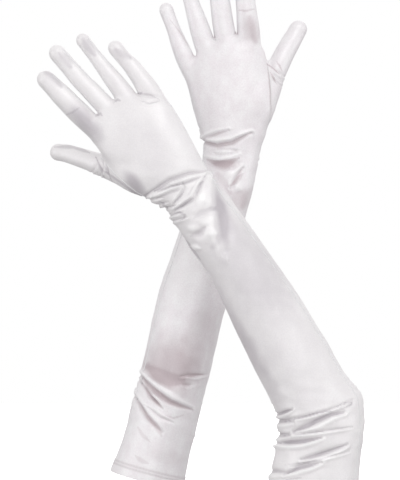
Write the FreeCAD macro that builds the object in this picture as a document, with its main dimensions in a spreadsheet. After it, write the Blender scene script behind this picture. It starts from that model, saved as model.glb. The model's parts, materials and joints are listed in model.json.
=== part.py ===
"""Opera gloves: a pair of long stretch-satin gloves, standing in the shape that two raised,
crossed arms give them.

+Z is up and +X runs to the right of someone who faces the backs of the hands and looks
along +Y. The origin is the centre of the left glove's arm opening. Each glove lies along a
flat path in its own XZ plane: the left one at Y = 0, the right one in front of it.
Angles of the path are measured from +Z towards +X.
"""
import FreeCAD, Part
import math
import os

import Sketcher

DIMENSIONS = [
    # fabric
    ("fabric_wall", 1.0, "thickness that stands for the stretched satin"),
    ("hem_wall", 2.0, "the turned hem: fabric folded on itself"),
    ("hem_depth", 12.0, "from the edge of the opening to the hem's top"),
    ("hem_row_low", 8.0, "first row of the twin-needle stitching, above the edge"),
    ("hem_row_high", 11.0, "second row of the twin-needle stitching"),
    ("thread_radius", 0.4, "sewing thread"),
    ("seam_radius", 0.6, "half of the rolled side seam"),
    ("seam_turn", 66.0, "degrees round the arm, from its front to the side seam"),
    ("sewing_gap", 0.3, "air between pieces that lie against each other"),
    ("stitch_gap", 0.05, "air between the hem and its stitching"),
    ("seam_start", 1.0, "from the hem to where the side seam starts"),
    ("opening_cutter", 4, "height of the cutter for a finger's opening in the palm"),
    # lengths along the arm, shared by both gloves
    ("sleeve_length", 89.0, "arm opening to elbow"),
    ("forearm_length", 234.0, "elbow to wrist"),
    ("hand_length", 90.0, "wrist to the line of the finger openings"),
    ("elbow_reach", 45.0, "half of the fabric that bends at the elbow"),
    ("wrist_reach", 22.0, "half of the fabric that bends at the wrist"),
    ("midarm_at", 120.0, "elbow to the middle of the forearm"),
    ("narrows_at", 180.0, "elbow to where the forearm narrows"),
    ("thenar_at", 50.0, "wrist to the ball of the thumb"),
    # fingers
    ("finger_pitch", 20.2, "one finger opening to the next"),
    ("knuckle_tilt", 11.0, "the finger openings fall away towards the little finger"),
    ("knuckle_reach", 22.0, "fabric that bends at the root of a finger"),
    ("fourchette_share", 0.6, "how far out from a finger's middle its side strip starts"),
    ("index_length", 65.0, ""),
    ("middle_length", 80.0, ""),
    ("ring_length", 77.0, ""),
    ("little_length", 57.0, ""),
    ("thumb_length", 54.0, ""),
    ("index_root", 10.2, "radius where the finger leaves the hand"),
    ("middle_root", 9.6, ""),
    ("ring_root", 9.4, ""),
    ("little_root", 9.0, ""),
    ("thumb_root", 10.2, ""),
    ("index_tip", 7.8, "radius of the rounded end"),
    ("middle_tip", 7.6, ""),
    ("ring_tip", 7.2, ""),
    ("little_tip", 7.0, ""),
    ("thumb_tip", 8.0, ""),
    ("gusset_up", 35.0, "start of the thumb gusset from the wrist, along the hand"),
    ("gusset_out", 27.5, "and from the hand's middle, across"),
    ("gusset_start", 5.5, "radius of the gusset where it starts"),
    ("gusset_belly", 12.5, "radius of the gusset at the ball of the thumb"),
    ("gusset_length", 34.0, "from the gusset's start to the crotch of the thumb"),
    ("thumb_reach", 12.0, "from the crotch to where the stall starts"),
    # widths of the left glove, across the arm, and its depths, front to back
    ("left_cuff_width", 71.0, ""), ("left_cuff_depth", 71.0, "a round opening"),
    ("left_above_width", 65.0, ""), ("left_above_depth", 68.0, "above the elbow"),
    ("left_elbow_width", 65.0, ""), ("left_elbow_depth", 65.0, ""),
    ("left_below_width", 66.0, ""), ("left_below_depth", 64.0, "below the elbow"),
    ("left_midarm_width", 60.0, ""), ("left_midarm_depth", 58.0, ""),
    ("left_narrow_width", 55.0, ""), ("left_narrow_depth", 50.0, ""),
    ("left_prewrist_width", 54.0, ""), ("left_prewrist_depth", 43.0, ""),
    ("left_wrist_width", 55.0, ""), ("left_wrist_depth", 39.0, ""),
    # widths and depths of the right glove
    ("right_cuff_width", 82.0, ""), ("right_cuff_depth", 82.0, "a round opening"),
    ("right_above_width", 80.0, ""), ("right_above_depth", 76.0, "above the elbow"),
    ("right_elbow_width", 82.0, ""), ("right_elbow_depth", 73.0, ""),
    ("right_below_width", 73.0, ""), ("right_below_depth", 66.0, "below the elbow"),
    ("right_midarm_width", 62.0, ""), ("right_midarm_depth", 58.0, ""),
    ("right_narrow_width", 56.0, ""), ("right_narrow_depth", 50.0, ""),
    ("right_prewrist_width", 55.0, ""), ("right_prewrist_depth", 43.0, ""),
    ("right_wrist_width", 57.0, ""), ("right_wrist_depth", 39.0, ""),
    # the hand, the same on both gloves
    ("heel_width", 64.0, ""), ("heel_depth", 41.0, "where the hand starts"),
    ("heel_shift", 2.0, "of its middle, towards the thumb"),
    ("thenar_width", 82.0, ""), ("thenar_depth", 39.0, "at the ball of the thumb"),
    ("thenar_shift", 5.0, "of its middle, towards the thumb"),
    ("knuckle_width", 84.0, ""), ("knuckle_depth", 30.0, "at the finger openings"),
    # how the pair stands
    ("pair_gap", 72.0, "the right glove's plane in front of the left one's"),
    ("pair_across", 152.0, "the right arm opening, to the right of the left one"),
    ("pair_drop", 12.0, "the right arm opening, below the left one"),
    ("left_sleeve_lean", 14.8, "lean of each stretch of the path"),
    ("left_forearm_lean", 14.6, ""),
    ("left_hand_lean", -9.6, ""),
    ("right_sleeve_lean", 4.5, ""),
    ("right_forearm_lean", -32.6, ""),
    ("right_hand_lean", -39.2, ""),
    ("left_index_spread", 5.0, "from the hand's line towards the thumb side"),
    ("left_middle_spread", 0.5, ""),
    ("left_ring_spread", -6.5, ""),
    ("left_little_spread", -10.5, ""),
    ("left_thumb_spread", 38.5, ""),
    ("left_thumb_dip", 12.0, "towards the palm, +Y"),
    ("right_index_spread", 6.6, ""),
    ("right_middle_spread", 2.0, ""),
    ("right_ring_spread", -2.0, ""),
    ("right_little_spread", -2.8, ""),
    ("right_thumb_spread", 36.0, ""),
    ("right_thumb_dip", 24.0, ""),
]
FINGERS = ("index", "middle", "ring", "little")

doc = FreeCAD.newDocument("opera_gloves")
sheet = doc.addObject("Spreadsheet::Sheet", "Dimensions")
for row, (alias, value, meaning) in enumerate(DIMENSIONS, start=1):
    sheet.set(f"A{row}", str(value))
    sheet.setAlias(f"A{row}", alias)
    if meaning:
        sheet.set(f"B{row}", meaning)
doc.recompute()

nodes = []


def size(alias):
    """A driving dimension, from the sheet."""
    return float(getattr(sheet, alias))


def path_vector(lean, dip=0.0):
    """The direction that leans from +Z towards +X, then dips towards +Y."""
    return turn(lean, dip).multVec(FreeCAD.Vector(0, 0, 1))


def turn(lean, dip=0.0):
    """The rotation that takes +Z to path_vector and leaves +X across the arm."""
    across = FreeCAD.Rotation(FreeCAD.Vector(0, 1, 0), lean)
    forward = FreeCAD.Rotation(FreeCAD.Vector(1, 0, 0), -dip)
    return across.multiply(forward)


def keep(thing, label):
    """Name a finished sub-part and list it for export."""
    thing.Label = label
    nodes.append(thing)
    return thing


class Station:
    """A cross-section: where the tube's middle is, how it is turned, and its two sizes."""

    def __init__(self, point, rotation, width, depth):
        self.place = FreeCAD.Placement(point, rotation)
        self.width = width
        self.depth = depth

    def ring(self, name, inset):
        """An ellipse at this station, set in from the outer surface by an expression."""
        oval = doc.addObject("Part::Ellipse", name)
        oval.setExpression("MajorRadius", f"{larger(self)} - ({inset})")
        oval.setExpression("MinorRadius", f"{smaller(self)} - ({inset})")
        place = self.place
        if size_of(self.depth) > size_of(self.width):
            quarter = FreeCAD.Rotation(FreeCAD.Vector(0, 0, 1), 90)
            place = place.multiply(FreeCAD.Placement(FreeCAD.Vector(), quarter))
        oval.Placement = place
        return oval

    def shifted(self, along):
        """The same section, moved along the tube."""
        moved = self.place.multiply(FreeCAD.Placement(FreeCAD.Vector(0, 0, along),
                                                      FreeCAD.Rotation()))
        return Station(moved.Base, moved.Rotation, self.width, self.depth)


def size_of(expression):
    """The value of a one-cell expression such as Dimensions.cuff_width / 2."""
    cell, _, divisor = expression.partition(" / ")
    return size(cell.replace("Dimensions.", "")) / float(divisor or 1)


def larger(station):
    return max(station.width, station.depth, key=size_of)


def smaller(station):
    return min(station.width, station.depth, key=size_of)


def half(alias):
    """Half of a driving dimension, as an expression."""
    return f"Dimensions.{alias} / 2"


def whole(alias):
    return f"Dimensions.{alias}"


def loft(name, stations, inset):
    """A solid through rings at the stations, with straight sides from one to the next."""
    solid = doc.addObject("Part::Loft", name)
    solid.Sections = [s.ring(f"{name}_ring", inset) for s in stations]
    solid.Solid = True
    solid.Ruled = True
    return solid


def cut(name, base, tool):
    result = doc.addObject("Part::Cut", name)
    result.Base = base
    result.Tool = tool
    return result


def sleeve(name, stations, wall="Dimensions.fabric_wall"):
    """A tube of fabric, open at both ends."""
    outer = loft(f"{name}_outer", stations, "0")
    inner = loft(f"{name}_inner", stations, wall)
    return cut(name, outer, inner)


def hem_band(glove):
    """The turned hem: a straight round band, inside which an arm passes."""
    outer = doc.addObject("Part::Cylinder", f"{glove.name}_hem_outer")
    outer.setExpression("Radius", half(f"{glove.name}_cuff_width"))
    outer.setExpression("Height", whole("hem_depth"))
    inner = doc.addObject("Part::Cylinder", f"{glove.name}_hem_inner")
    inner.setExpression("Radius", half(f"{glove.name}_cuff_width") + " - Dimensions.hem_wall")
    inner.setExpression("Height", whole("hem_depth"))
    band = cut(f"{glove.name}_hem", outer, inner)
    band.Placement = FreeCAD.Placement(glove.cuff, turn(glove.lean["sleeve"]))
    return keep(band, f"{glove.name}_hem_band")


def hem_stitching(glove):
    """Two rows of thread round the outside of the hem."""
    rows = []
    for level in ("low", "high"):
        row = doc.addObject("Part::Torus", f"{glove.name}_stitch_{level}")
        row.setExpression("Radius1", half(f"{glove.name}_cuff_width")
                          + " + Dimensions.thread_radius + Dimensions.stitch_gap")
        row.setExpression("Radius2", whole("thread_radius"))
        row.setExpression("Placement.Base.z", whole(f"hem_row_{level}"))
        rows.append(row)
    pair = doc.addObject("Part::Compound", f"{glove.name}_stitches")
    pair.Links = rows
    pair.Placement = FreeCAD.Placement(glove.cuff, turn(glove.lean["sleeve"]))
    return keep(pair, f"{glove.name}_hem_stitching")


def side_seam(glove, label, stations):
    """The rolled seam down the little-finger side of the arm, just off the fabric."""
    name = label.replace(glove.name, f"{glove.name}_run")
    stand_off = size("seam_radius") + size("sewing_gap")
    angle = math.radians(size("seam_turn"))
    rings = []
    for station in stations:
        across = -glove.radial * (size_of(station.width) + stand_off) * math.sin(angle)
        forward = -(size_of(station.depth) + stand_off) * math.cos(angle)
        spot = station.place.multVec(FreeCAD.Vector(across, forward, 0))
        dot = doc.addObject("Part::Circle", f"{name}_ring")
        dot.setExpression("Radius", whole("seam_radius"))
        dot.Placement = FreeCAD.Placement(spot, station.place.Rotation)
        rings.append(dot)
    run = doc.addObject("Part::Loft", name)
    run.Sections = rings
    run.Solid = True
    run.Ruled = True
    return keep(run, label)


def thimble(name, root, tip, length):
    """A finger's closed end: a tapered tube with a round top, turned about its own axis.
    The three sizes are expressions."""
    body = doc.addObject("PartDesign::Body", name)
    sketch = body.newObject("Sketcher::SketchObject", f"{name}_profile")
    plane = next(f for f in body.Origin.OriginFeatures if f.Role == "XZ_Plane")
    sketch.AttachmentSupport = [(plane, "")]
    sketch.MapMode = "FlatFace"
    root_r, tip_r, tall, wall = 9.0, 7.0, 40.0, 1.0  # a first guess; the constraints set them
    centre = FreeCAD.Vector(0, tall - tip_r, 0)
    normal = FreeCAD.Vector(0, 0, 1)

    def line(a, b):
        return Part.LineSegment(FreeCAD.Vector(*a, 0), FreeCAD.Vector(*b, 0))

    def dome(radius):
        return Part.ArcOfCircle(Part.Circle(centre, normal, radius), 0, math.pi / 2)

    sketch.addGeometry([
        line((root_r, 0), (tip_r, tall - tip_r)),
        dome(tip_r),
        line((0, tall), (0, tall - wall)),
        dome(tip_r - wall),
        line((tip_r - wall, tall - tip_r), (root_r - wall, 0)),
        line((root_r - wall, 0), (root_r, 0)),
    ], False)
    start, end, middle, flat, upright = 1, 2, 3, -1, -2
    rules = [
        ("Coincident", 0, end, 1, start), ("Coincident", 1, end, 2, start),
        ("Coincident", 2, end, 3, end), ("Coincident", 3, start, 4, start),
        ("Coincident", 4, end, 5, start), ("Coincident", 5, end, 0, start),
        ("Coincident", 1, middle, 3, middle),
        ("PointOnObject", 1, middle, upright), ("PointOnObject", 2, start, upright),
        ("PointOnObject", 2, end, upright),
        ("PointOnObject", 5, start, flat), ("PointOnObject", 5, end, flat),
        ("Horizontal", 0, end, 1, middle), ("Horizontal", 4, start, 1, middle),
    ]
    sketch.addConstraint([Sketcher.Constraint(*rule) for rule in rules])
    wall_cell = "Dimensions.fabric_wall"
    sized = [
        ("tip", ("Radius", 1, tip_r), tip),
        ("tip_inside", ("Radius", 3, tip_r - wall), f"{tip} - {wall_cell}"),
        ("root", ("DistanceX", -1, 1, 0, start, root_r), root),
        ("root_inside", ("DistanceX", -1, 1, 5, start, root_r - wall), f"{root} - {wall_cell}"),
        ("top", ("DistanceY", -1, 1, 1, middle, tall - tip_r), f"{length} - {tip}"),
    ]
    for label, rule, expression in sized:
        index = sketch.addConstraint(Sketcher.Constraint(*rule))
        sketch.renameConstraint(index, label)
        sketch.setExpression(f"Constraints.{label}", expression)
    spun = body.newObject("PartDesign::Revolution", f"{name}_turned")
    spun.Profile = sketch
    spun.ReferenceAxis = (sketch, ["V_Axis"])
    spun.Angle = 360
    return body


def side_slab(name, side, root, length):
    """A block that takes in one side of a finger, but not its tip."""
    slab = doc.addObject("Part::Box", name)
    slab.setExpression("Length", root)
    slab.setExpression("Width", f"2 * {root}")
    slab.setExpression("Height", f"{length} - {root}")
    inner = f"{root} * Dimensions.fourchette_share"
    slab.setExpression("Placement.Base.x", inner if side > 0 else f"-({inner}) - {root}")
    slab.setExpression("Placement.Base.y", f"-{root}")
    return slab


def finger(glove, name):
    """One finger: the stall, the strips down its sides, and the fabric that bends at its
    root. Strips are only where another finger is next to it."""
    row = FINGERS.index(name)
    full = f"{glove.name}_{name}"
    root = whole(f"{name}_root")
    length = f"(Dimensions.{name}_length - Dimensions.knuckle_reach)"
    base, rotation = glove.finger_base(row), glove.finger_turn(name)
    place = FreeCAD.Placement(base, rotation)
    begin = Station(base, turn(glove.knuckle_lean()), root, root)
    stop = Station(base, rotation, root, root).shifted(size("knuckle_reach"))
    keep(sleeve(f"{full}_bend", [begin, stop]), f"{full}_knuckle_section")

    stall = thimble(f"{full}_thimble", root, whole(f"{name}_tip"), length)
    sides = []
    if row < len(FINGERS) - 1:
        sides.append(-glove.radial)
    if row > 0:
        sides.append(glove.radial)
    slabs = [side_slab(f"{full}_slab", side, root, length) for side in sides]
    slab_group = slabs[0]
    if len(slabs) > 1:
        slab_group = doc.addObject("Part::Compound", f"{full}_slabs")
        slab_group.Links = slabs
    strips = doc.addObject("Part::Common", f"{full}_strips")
    strips.Base = stall
    strips.Tool = slab_group
    trank = cut(f"{full}_trank", stall, slab_group)
    out = place.multiply(FreeCAD.Placement(FreeCAD.Vector(0, 0, size("knuckle_reach")),
                                           FreeCAD.Rotation()))
    trank.Placement = out
    strips.Placement = out
    keep(trank, f"{full}_finger_stall")
    keep(strips, f"{full}_fourchette" if len(sides) == 1 else f"{full}_fourchettes")


def gusset_stations(glove):
    """Sections of the set-in base of the thumb, from inside the hand to the stall."""
    base = Station(glove.gusset_base(), glove.thumb_turn(), whole("gusset_start"),
                   whole("gusset_start"))
    belly = base.shifted(size("gusset_length") / 2)
    belly.width = belly.depth = whole("gusset_belly")
    crotch = base.shifted(size("gusset_length"))
    crotch.width = crotch.depth = whole("thumb_root")
    return [base, belly, crotch, crotch.shifted(size("thumb_reach"))]


def thumb(glove):
    """The set-in thumb: its gusset and its stall."""
    full = f"{glove.name}_thumb"
    stations = gusset_stations(glove)
    keep(sleeve(f"{full}_bend", stations), f"{full}_gusset")
    stall = thimble(f"{full}_thimble", whole("thumb_root"), whole("thumb_tip"),
                    "(Dimensions.thumb_length - Dimensions.thumb_reach)")
    stall.Placement = stations[-1].place
    keep(stall, f"{full}_stall")


def hand(glove):
    """The hand: a flattened pouch with an opening for each finger and one for the thumb."""
    full = f"{glove.name}_hand"
    heel = glove.hand_station(size("wrist_reach"), "heel")
    thenar = glove.hand_station(size("thenar_at"), "thenar")
    top = glove.knuckle_station()
    outer = loft(f"{full}_outer", [heel, thenar, top], "0")
    inner = loft(f"{full}_inner", [heel, thenar, top.shifted(-size("fabric_wall"))],
                 "Dimensions.fabric_wall")
    pouch = cut(f"{full}_pouch", outer, inner)
    for row, name in enumerate(FINGERS):
        hole = doc.addObject("Part::Cylinder", f"{full}_{name}_hole")
        hole.setExpression("Radius", f"Dimensions.{name}_root - Dimensions.fabric_wall")
        hole.setExpression("Height", whole("opening_cutter"))
        start = FreeCAD.Placement(glove.finger_base(row), turn(glove.knuckle_lean()))
        down = FreeCAD.Vector(0, 0, -size("opening_cutter") / 2)
        hole.Placement = start.multiply(FreeCAD.Placement(down, FreeCAD.Rotation()))
        pouch = cut(f"{full}_open_{name}", pouch, hole)
    mouth = loft(f"{full}_thumb_hole", gusset_stations(glove), "-Dimensions.sewing_gap")
    keep(cut(full, pouch, mouth), f"{full}_and_palm")


class Glove:
    """One glove's path and where its pieces go. radial is the thumb's side: +1 is +X."""

    def __init__(self, name, radial, cuff):
        self.name = name
        self.radial = radial
        self.cuff = cuff
        self.lean = {part: size(f"{name}_{part}_lean") for part in ("sleeve", "forearm", "hand")}
        self.elbow = cuff + path_vector(self.lean["sleeve"]) * size("sleeve_length")
        self.wrist = self.elbow + path_vector(self.lean["forearm"]) * size("forearm_length")

    def arm_station(self, start, part, along, section):
        """A section a distance along one stretch of the arm."""
        point = start + path_vector(self.lean[part]) * along
        return Station(point, turn(self.lean[part]), half(f"{self.name}_{section}_width"),
                       half(f"{self.name}_{section}_depth"))

    def corner_station(self, point, first, second, section):
        """A section at a bend, turned halfway between the two stretches."""
        lean = (self.lean[first] + self.lean[second]) / 2
        return Station(point, turn(lean), half(f"{self.name}_{section}_width"),
                       half(f"{self.name}_{section}_depth"))

    def hand_point(self, along, out):
        """A point in the hand's plane: along it from the wrist, and out to the thumb side."""
        place = FreeCAD.Placement(self.wrist, turn(self.lean["hand"]))
        return place.multVec(FreeCAD.Vector(self.radial * out, 0, along))

    def hand_station(self, along, section):
        point = self.hand_point(along, size(f"{section}_shift"))
        return Station(point, turn(self.lean["hand"]), half(f"{section}_width"),
                       half(f"{section}_depth"))

    def knuckle_lean(self):
        return self.lean["hand"] - self.radial * size("knuckle_tilt")

    def knuckle_station(self):
        point = self.hand_point(size("hand_length"), 0)
        return Station(point, turn(self.knuckle_lean()), half("knuckle_width"),
                       half("knuckle_depth"))

    def finger_base(self, row):
        """The middle of a finger's opening; row 0 is the index finger."""
        steps = (len(FINGERS) - 1) / 2 - row
        across = FreeCAD.Vector(self.radial * steps * size("finger_pitch"), 0, 0)
        return self.knuckle_station().place.multVec(across)

    def finger_turn(self, name):
        return turn(self.lean["hand"] + self.radial * size(f"{self.name}_{name}_spread"))

    def gusset_base(self):
        return self.hand_point(size("gusset_up"), size("gusset_out"))

    def thumb_turn(self):
        return turn(self.lean["hand"] + self.radial * size(f"{self.name}_thumb_spread"),
                    size(f"{self.name}_thumb_dip"))

    def build(self):
        """Every piece of this glove, from the opening to the fingertips."""
        name, reach, bend = self.name, size("elbow_reach"), size("wrist_reach")
        cuff = self.arm_station(self.cuff, "sleeve", size("hem_depth"), "cuff")
        above = self.arm_station(self.elbow, "sleeve", -reach, "above")
        elbow = self.corner_station(self.elbow, "sleeve", "forearm", "elbow")
        below = self.arm_station(self.elbow, "forearm", reach, "below")
        midarm = self.arm_station(self.elbow, "forearm", size("midarm_at"), "midarm")
        narrow = self.arm_station(self.elbow, "forearm", size("narrows_at"), "narrow")
        prewrist = self.arm_station(self.wrist, "forearm", -bend, "prewrist")
        wrist = self.corner_station(self.wrist, "forearm", "hand", "wrist")
        heel = self.hand_station(bend, "heel")
        hem_band(self)
        hem_stitching(self)
        keep(sleeve(f"{name}_upper", [cuff, above]), f"{name}_upper_sleeve")
        side_seam(self, f"{name}_upper_seam", [cuff.shifted(size("seam_start")), above])
        keep(sleeve(f"{name}_elbow", [above, elbow, below]), f"{name}_elbow_section")
        keep(sleeve(f"{name}_arm", [below, midarm, narrow, prewrist]), f"{name}_forearm_sleeve")
        side_seam(self, f"{name}_forearm_seam", [below, midarm, narrow, prewrist])
        keep(sleeve(f"{name}_turn", [prewrist, wrist, heel]), f"{name}_wrist_section")
        hand(self)
        thumb(self)
        for finger_name in FINGERS:
            finger(self, finger_name)


def right_cuff():
    """The middle of the right glove's opening."""
    return FreeCAD.Vector(size("pair_across"), -size("pair_gap"), -size("pair_drop"))


Glove("left", 1, FreeCAD.Vector(0, 0, 0)).build()
Glove("right", -1, right_cuff()).build()
doc.recompute()

faulty = [o.Label for o in doc.Objects if {"Invalid", "Error"} & set(o.State)]
faulty += [n.Label for n in nodes if n.Shape.isNull() or not n.Shape.isValid()]
if faulty:
    raise RuntimeError("failed to build: " + ", ".join(faulty))

os.makedirs("parts", exist_ok=True)
for node in nodes:
    node.Shape.exportStep(f"parts/{node.Label}.step")
print(len(nodes), "nodes,", sum(len(n.Shape.Solids) for n in nodes), "solids")
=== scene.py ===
"""The looks of a pair of white stretch-satin opera gloves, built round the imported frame.

Each glove is one skin: a signed distance field of its arm, palm and fingers, meshed, then
wrinkled, then cut into the pieces that the joints and the real seams ask for. All lengths
are in metres. "Along" is measured up the arm from the elbow, or up the hand from the wrist;
"out" is across the hand, towards the thumb; "round" is the angle round the arm, from the
side that faces the viewer (0) towards +X (90).
"""

import json
import math

import bmesh
import bpy
import numpy as np
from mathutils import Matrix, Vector, noise
from mathutils.bvhtree import BVHTree


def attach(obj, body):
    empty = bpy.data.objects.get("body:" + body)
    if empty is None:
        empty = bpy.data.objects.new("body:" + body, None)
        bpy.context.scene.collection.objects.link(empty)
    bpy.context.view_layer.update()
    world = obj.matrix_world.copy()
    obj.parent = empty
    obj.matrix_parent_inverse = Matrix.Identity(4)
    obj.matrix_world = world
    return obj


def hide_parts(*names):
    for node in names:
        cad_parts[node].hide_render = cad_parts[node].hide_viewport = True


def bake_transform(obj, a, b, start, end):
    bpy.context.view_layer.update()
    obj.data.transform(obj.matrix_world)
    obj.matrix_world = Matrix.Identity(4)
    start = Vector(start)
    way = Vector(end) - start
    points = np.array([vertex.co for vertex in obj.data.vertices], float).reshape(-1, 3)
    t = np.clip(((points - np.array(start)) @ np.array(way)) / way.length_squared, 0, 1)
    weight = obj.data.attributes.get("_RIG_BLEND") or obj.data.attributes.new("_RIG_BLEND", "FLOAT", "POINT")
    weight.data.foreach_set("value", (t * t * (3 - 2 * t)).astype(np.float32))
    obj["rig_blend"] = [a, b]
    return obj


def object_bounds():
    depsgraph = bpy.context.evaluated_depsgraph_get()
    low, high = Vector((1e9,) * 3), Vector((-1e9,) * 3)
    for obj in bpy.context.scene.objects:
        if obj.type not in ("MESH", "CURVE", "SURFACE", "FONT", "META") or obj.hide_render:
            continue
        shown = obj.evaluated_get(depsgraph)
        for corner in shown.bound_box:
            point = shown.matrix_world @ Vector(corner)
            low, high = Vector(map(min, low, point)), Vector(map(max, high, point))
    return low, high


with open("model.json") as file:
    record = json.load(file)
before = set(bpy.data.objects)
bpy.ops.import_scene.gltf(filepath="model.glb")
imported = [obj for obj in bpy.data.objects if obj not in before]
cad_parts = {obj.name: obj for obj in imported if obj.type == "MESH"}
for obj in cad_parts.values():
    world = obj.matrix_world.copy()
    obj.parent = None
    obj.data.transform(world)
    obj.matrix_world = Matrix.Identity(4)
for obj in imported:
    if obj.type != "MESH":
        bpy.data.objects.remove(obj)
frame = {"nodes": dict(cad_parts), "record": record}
cad_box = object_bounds()

MM = 0.001
FINGERS = ("index", "middle", "ring", "little")
JOINTS = {joint["name"]: joint for joint in frame["record"]["behaviour"]["joints"]}
MOUNTS = {mount["name"]: mount for mount in frame["record"]["mounts"]}

# --- camera, stage and light ---------------------------------------------------------

FRAME_HEIGHT = 0.4464     # what the picture shows of the plane of the left glove
VIEW_CENTRE = Vector((0.0492, 0.0, 0.2232))
CAMERA_AWAY = 3.7
SENSOR = 36.0
FLOOR_HALF = 4.0
FLOOR_DROP = 0.08         # the floor, below the lowest part of the gloves
AMBIENT = 1.0
# the studio's light from below (0) to above (1): a dim floor, bright front and ceiling
SKY = [(0.0, (0.46, 0.45, 0.455)), (0.36, (0.53, 0.52, 0.525)), (0.5, (0.66, 0.655, 0.655)),
       (0.66, (0.75, 0.745, 0.745)), (1.0, (0.86, 0.855, 0.855))]


def make_camera():
    """A level telephoto view along +Y."""
    camera = bpy.data.cameras.new("camera")
    camera.sensor_width = SENSOR
    camera.lens = SENSOR * CAMERA_AWAY / FRAME_HEIGHT
    camera.clip_end = 50
    holder = bpy.data.objects.new("camera", camera)
    holder.location = VIEW_CENTRE - Vector((0, CAMERA_AWAY, 0))
    holder.rotation_euler = (math.pi / 2, 0, 0)
    bpy.context.collection.objects.link(holder)
    bpy.context.scene.camera = holder


def area_light(name, place, size, watts):
    """A round soft lamp that points at the middle of the view."""
    lamp = bpy.data.lights.new(name, "AREA")
    lamp.shape = "DISK"
    lamp.size = size
    lamp.energy = watts
    holder = bpy.data.objects.new(name, lamp)
    holder.location = place
    aim = VIEW_CENTRE - Vector(place)
    holder.rotation_euler = aim.to_track_quat("-Z", "Y").to_euler()
    bpy.context.collection.objects.link(holder)


def make_world():
    """A studio that lights the gloves by its own shades, and shows as plain white."""
    world = bpy.data.worlds.new("studio")
    bpy.context.scene.world = world
    world.use_nodes = True
    nodes, links = world.node_tree.nodes, world.node_tree.links
    nodes.clear()
    out = nodes.new("ShaderNodeOutputWorld")
    seen, ambient = nodes.new("ShaderNodeBackground"), nodes.new("ShaderNodeBackground")
    seen.inputs["Color"].default_value = (1, 1, 1, 1)
    ambient.inputs["Strength"].default_value = AMBIENT
    way, height = nodes.new("ShaderNodeTexCoord"), nodes.new("ShaderNodeSeparateXYZ")
    sky = nodes.new("ShaderNodeValToRGB")
    links.new(way.outputs["Generated"], height.inputs[0])
    spread = nodes.new("ShaderNodeMapRange")
    spread.inputs["From Min"].default_value = -1
    links.new(height.outputs["Z"], spread.inputs["Value"])
    links.new(spread.outputs["Result"], sky.inputs["Fac"])
    ramp = sky.color_ramp
    while len(ramp.elements) < len(SKY):
        ramp.elements.new(0.5)
    for element, (place, colour) in zip(ramp.elements, SKY):
        element.position = place
        element.color = (*colour, 1)
    links.new(sky.outputs["Color"], ambient.inputs["Color"])
    path, mix = nodes.new("ShaderNodeLightPath"), nodes.new("ShaderNodeMixShader")
    links.new(path.outputs["Is Camera Ray"], mix.inputs["Fac"])
    links.new(ambient.outputs[0], mix.inputs[1])
    links.new(seen.outputs[0], mix.inputs[2])
    links.new(mix.outputs[0], out.inputs["Surface"])


def make_floor():
    """A white floor below the gloves, which throws no light on them."""
    half = FLOOR_HALF
    low = cad_box[0].z - FLOOR_DROP
    corners = [(-half, -half, low), (half, -half, low), (half, half, low), (-half, half, low)]
    mesh = bpy.data.meshes.new("floor")
    mesh.from_pydata(corners, [], [(0, 1, 2, 3)])
    floor = bpy.data.objects.new("floor", mesh)
    bpy.context.collection.objects.link(floor)
    material = bpy.data.materials.new("white_floor")
    material.use_nodes = True
    shader = material.node_tree.nodes["Principled BSDF"]
    shader.inputs["Base Color"].default_value = (0.9, 0.9, 0.9, 1)
    shader.inputs["Emission Color"].default_value = (1, 1, 1, 1)
    shader.inputs["Emission Strength"].default_value = 1.0
    mesh.materials.append(material)
    floor.visible_diffuse = False
    floor.visible_glossy = False


def make_lights():
    area_light("key", (0.7, -1.9, 1.6), 1.2, 10)
    area_light("front", (-0.2, -2.6, 0.3), 1.8, 8)
    area_light("left", (-2.0, -1.0, 0.2), 1.6, 8)
    area_light("right", (2.2, -0.8, 0.3), 1.6, 7)
    area_light("back", (0.2, 1.8, 1.2), 1.6, 5)


# --- the gloves' paths, from the frame -----------------------------------------------

KNUCKLE_HINGE = 11 * MM   # from a finger's opening to its hinge


def flat(point):
    """A point of the frame in a glove's own plane: (x, z)."""
    return np.array([point[0], point[2]], float)


def unit(vector):
    return vector / np.linalg.norm(vector)


def farthest_vertex(node, start):
    """The vertex of a CAD node that is farthest from start: a stall's tip."""
    spots = np.array([v.co for v in frame["nodes"][node].data.vertices], float)
    return spots[np.argmax(np.linalg.norm(spots - np.array(start), axis=1))]


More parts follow.
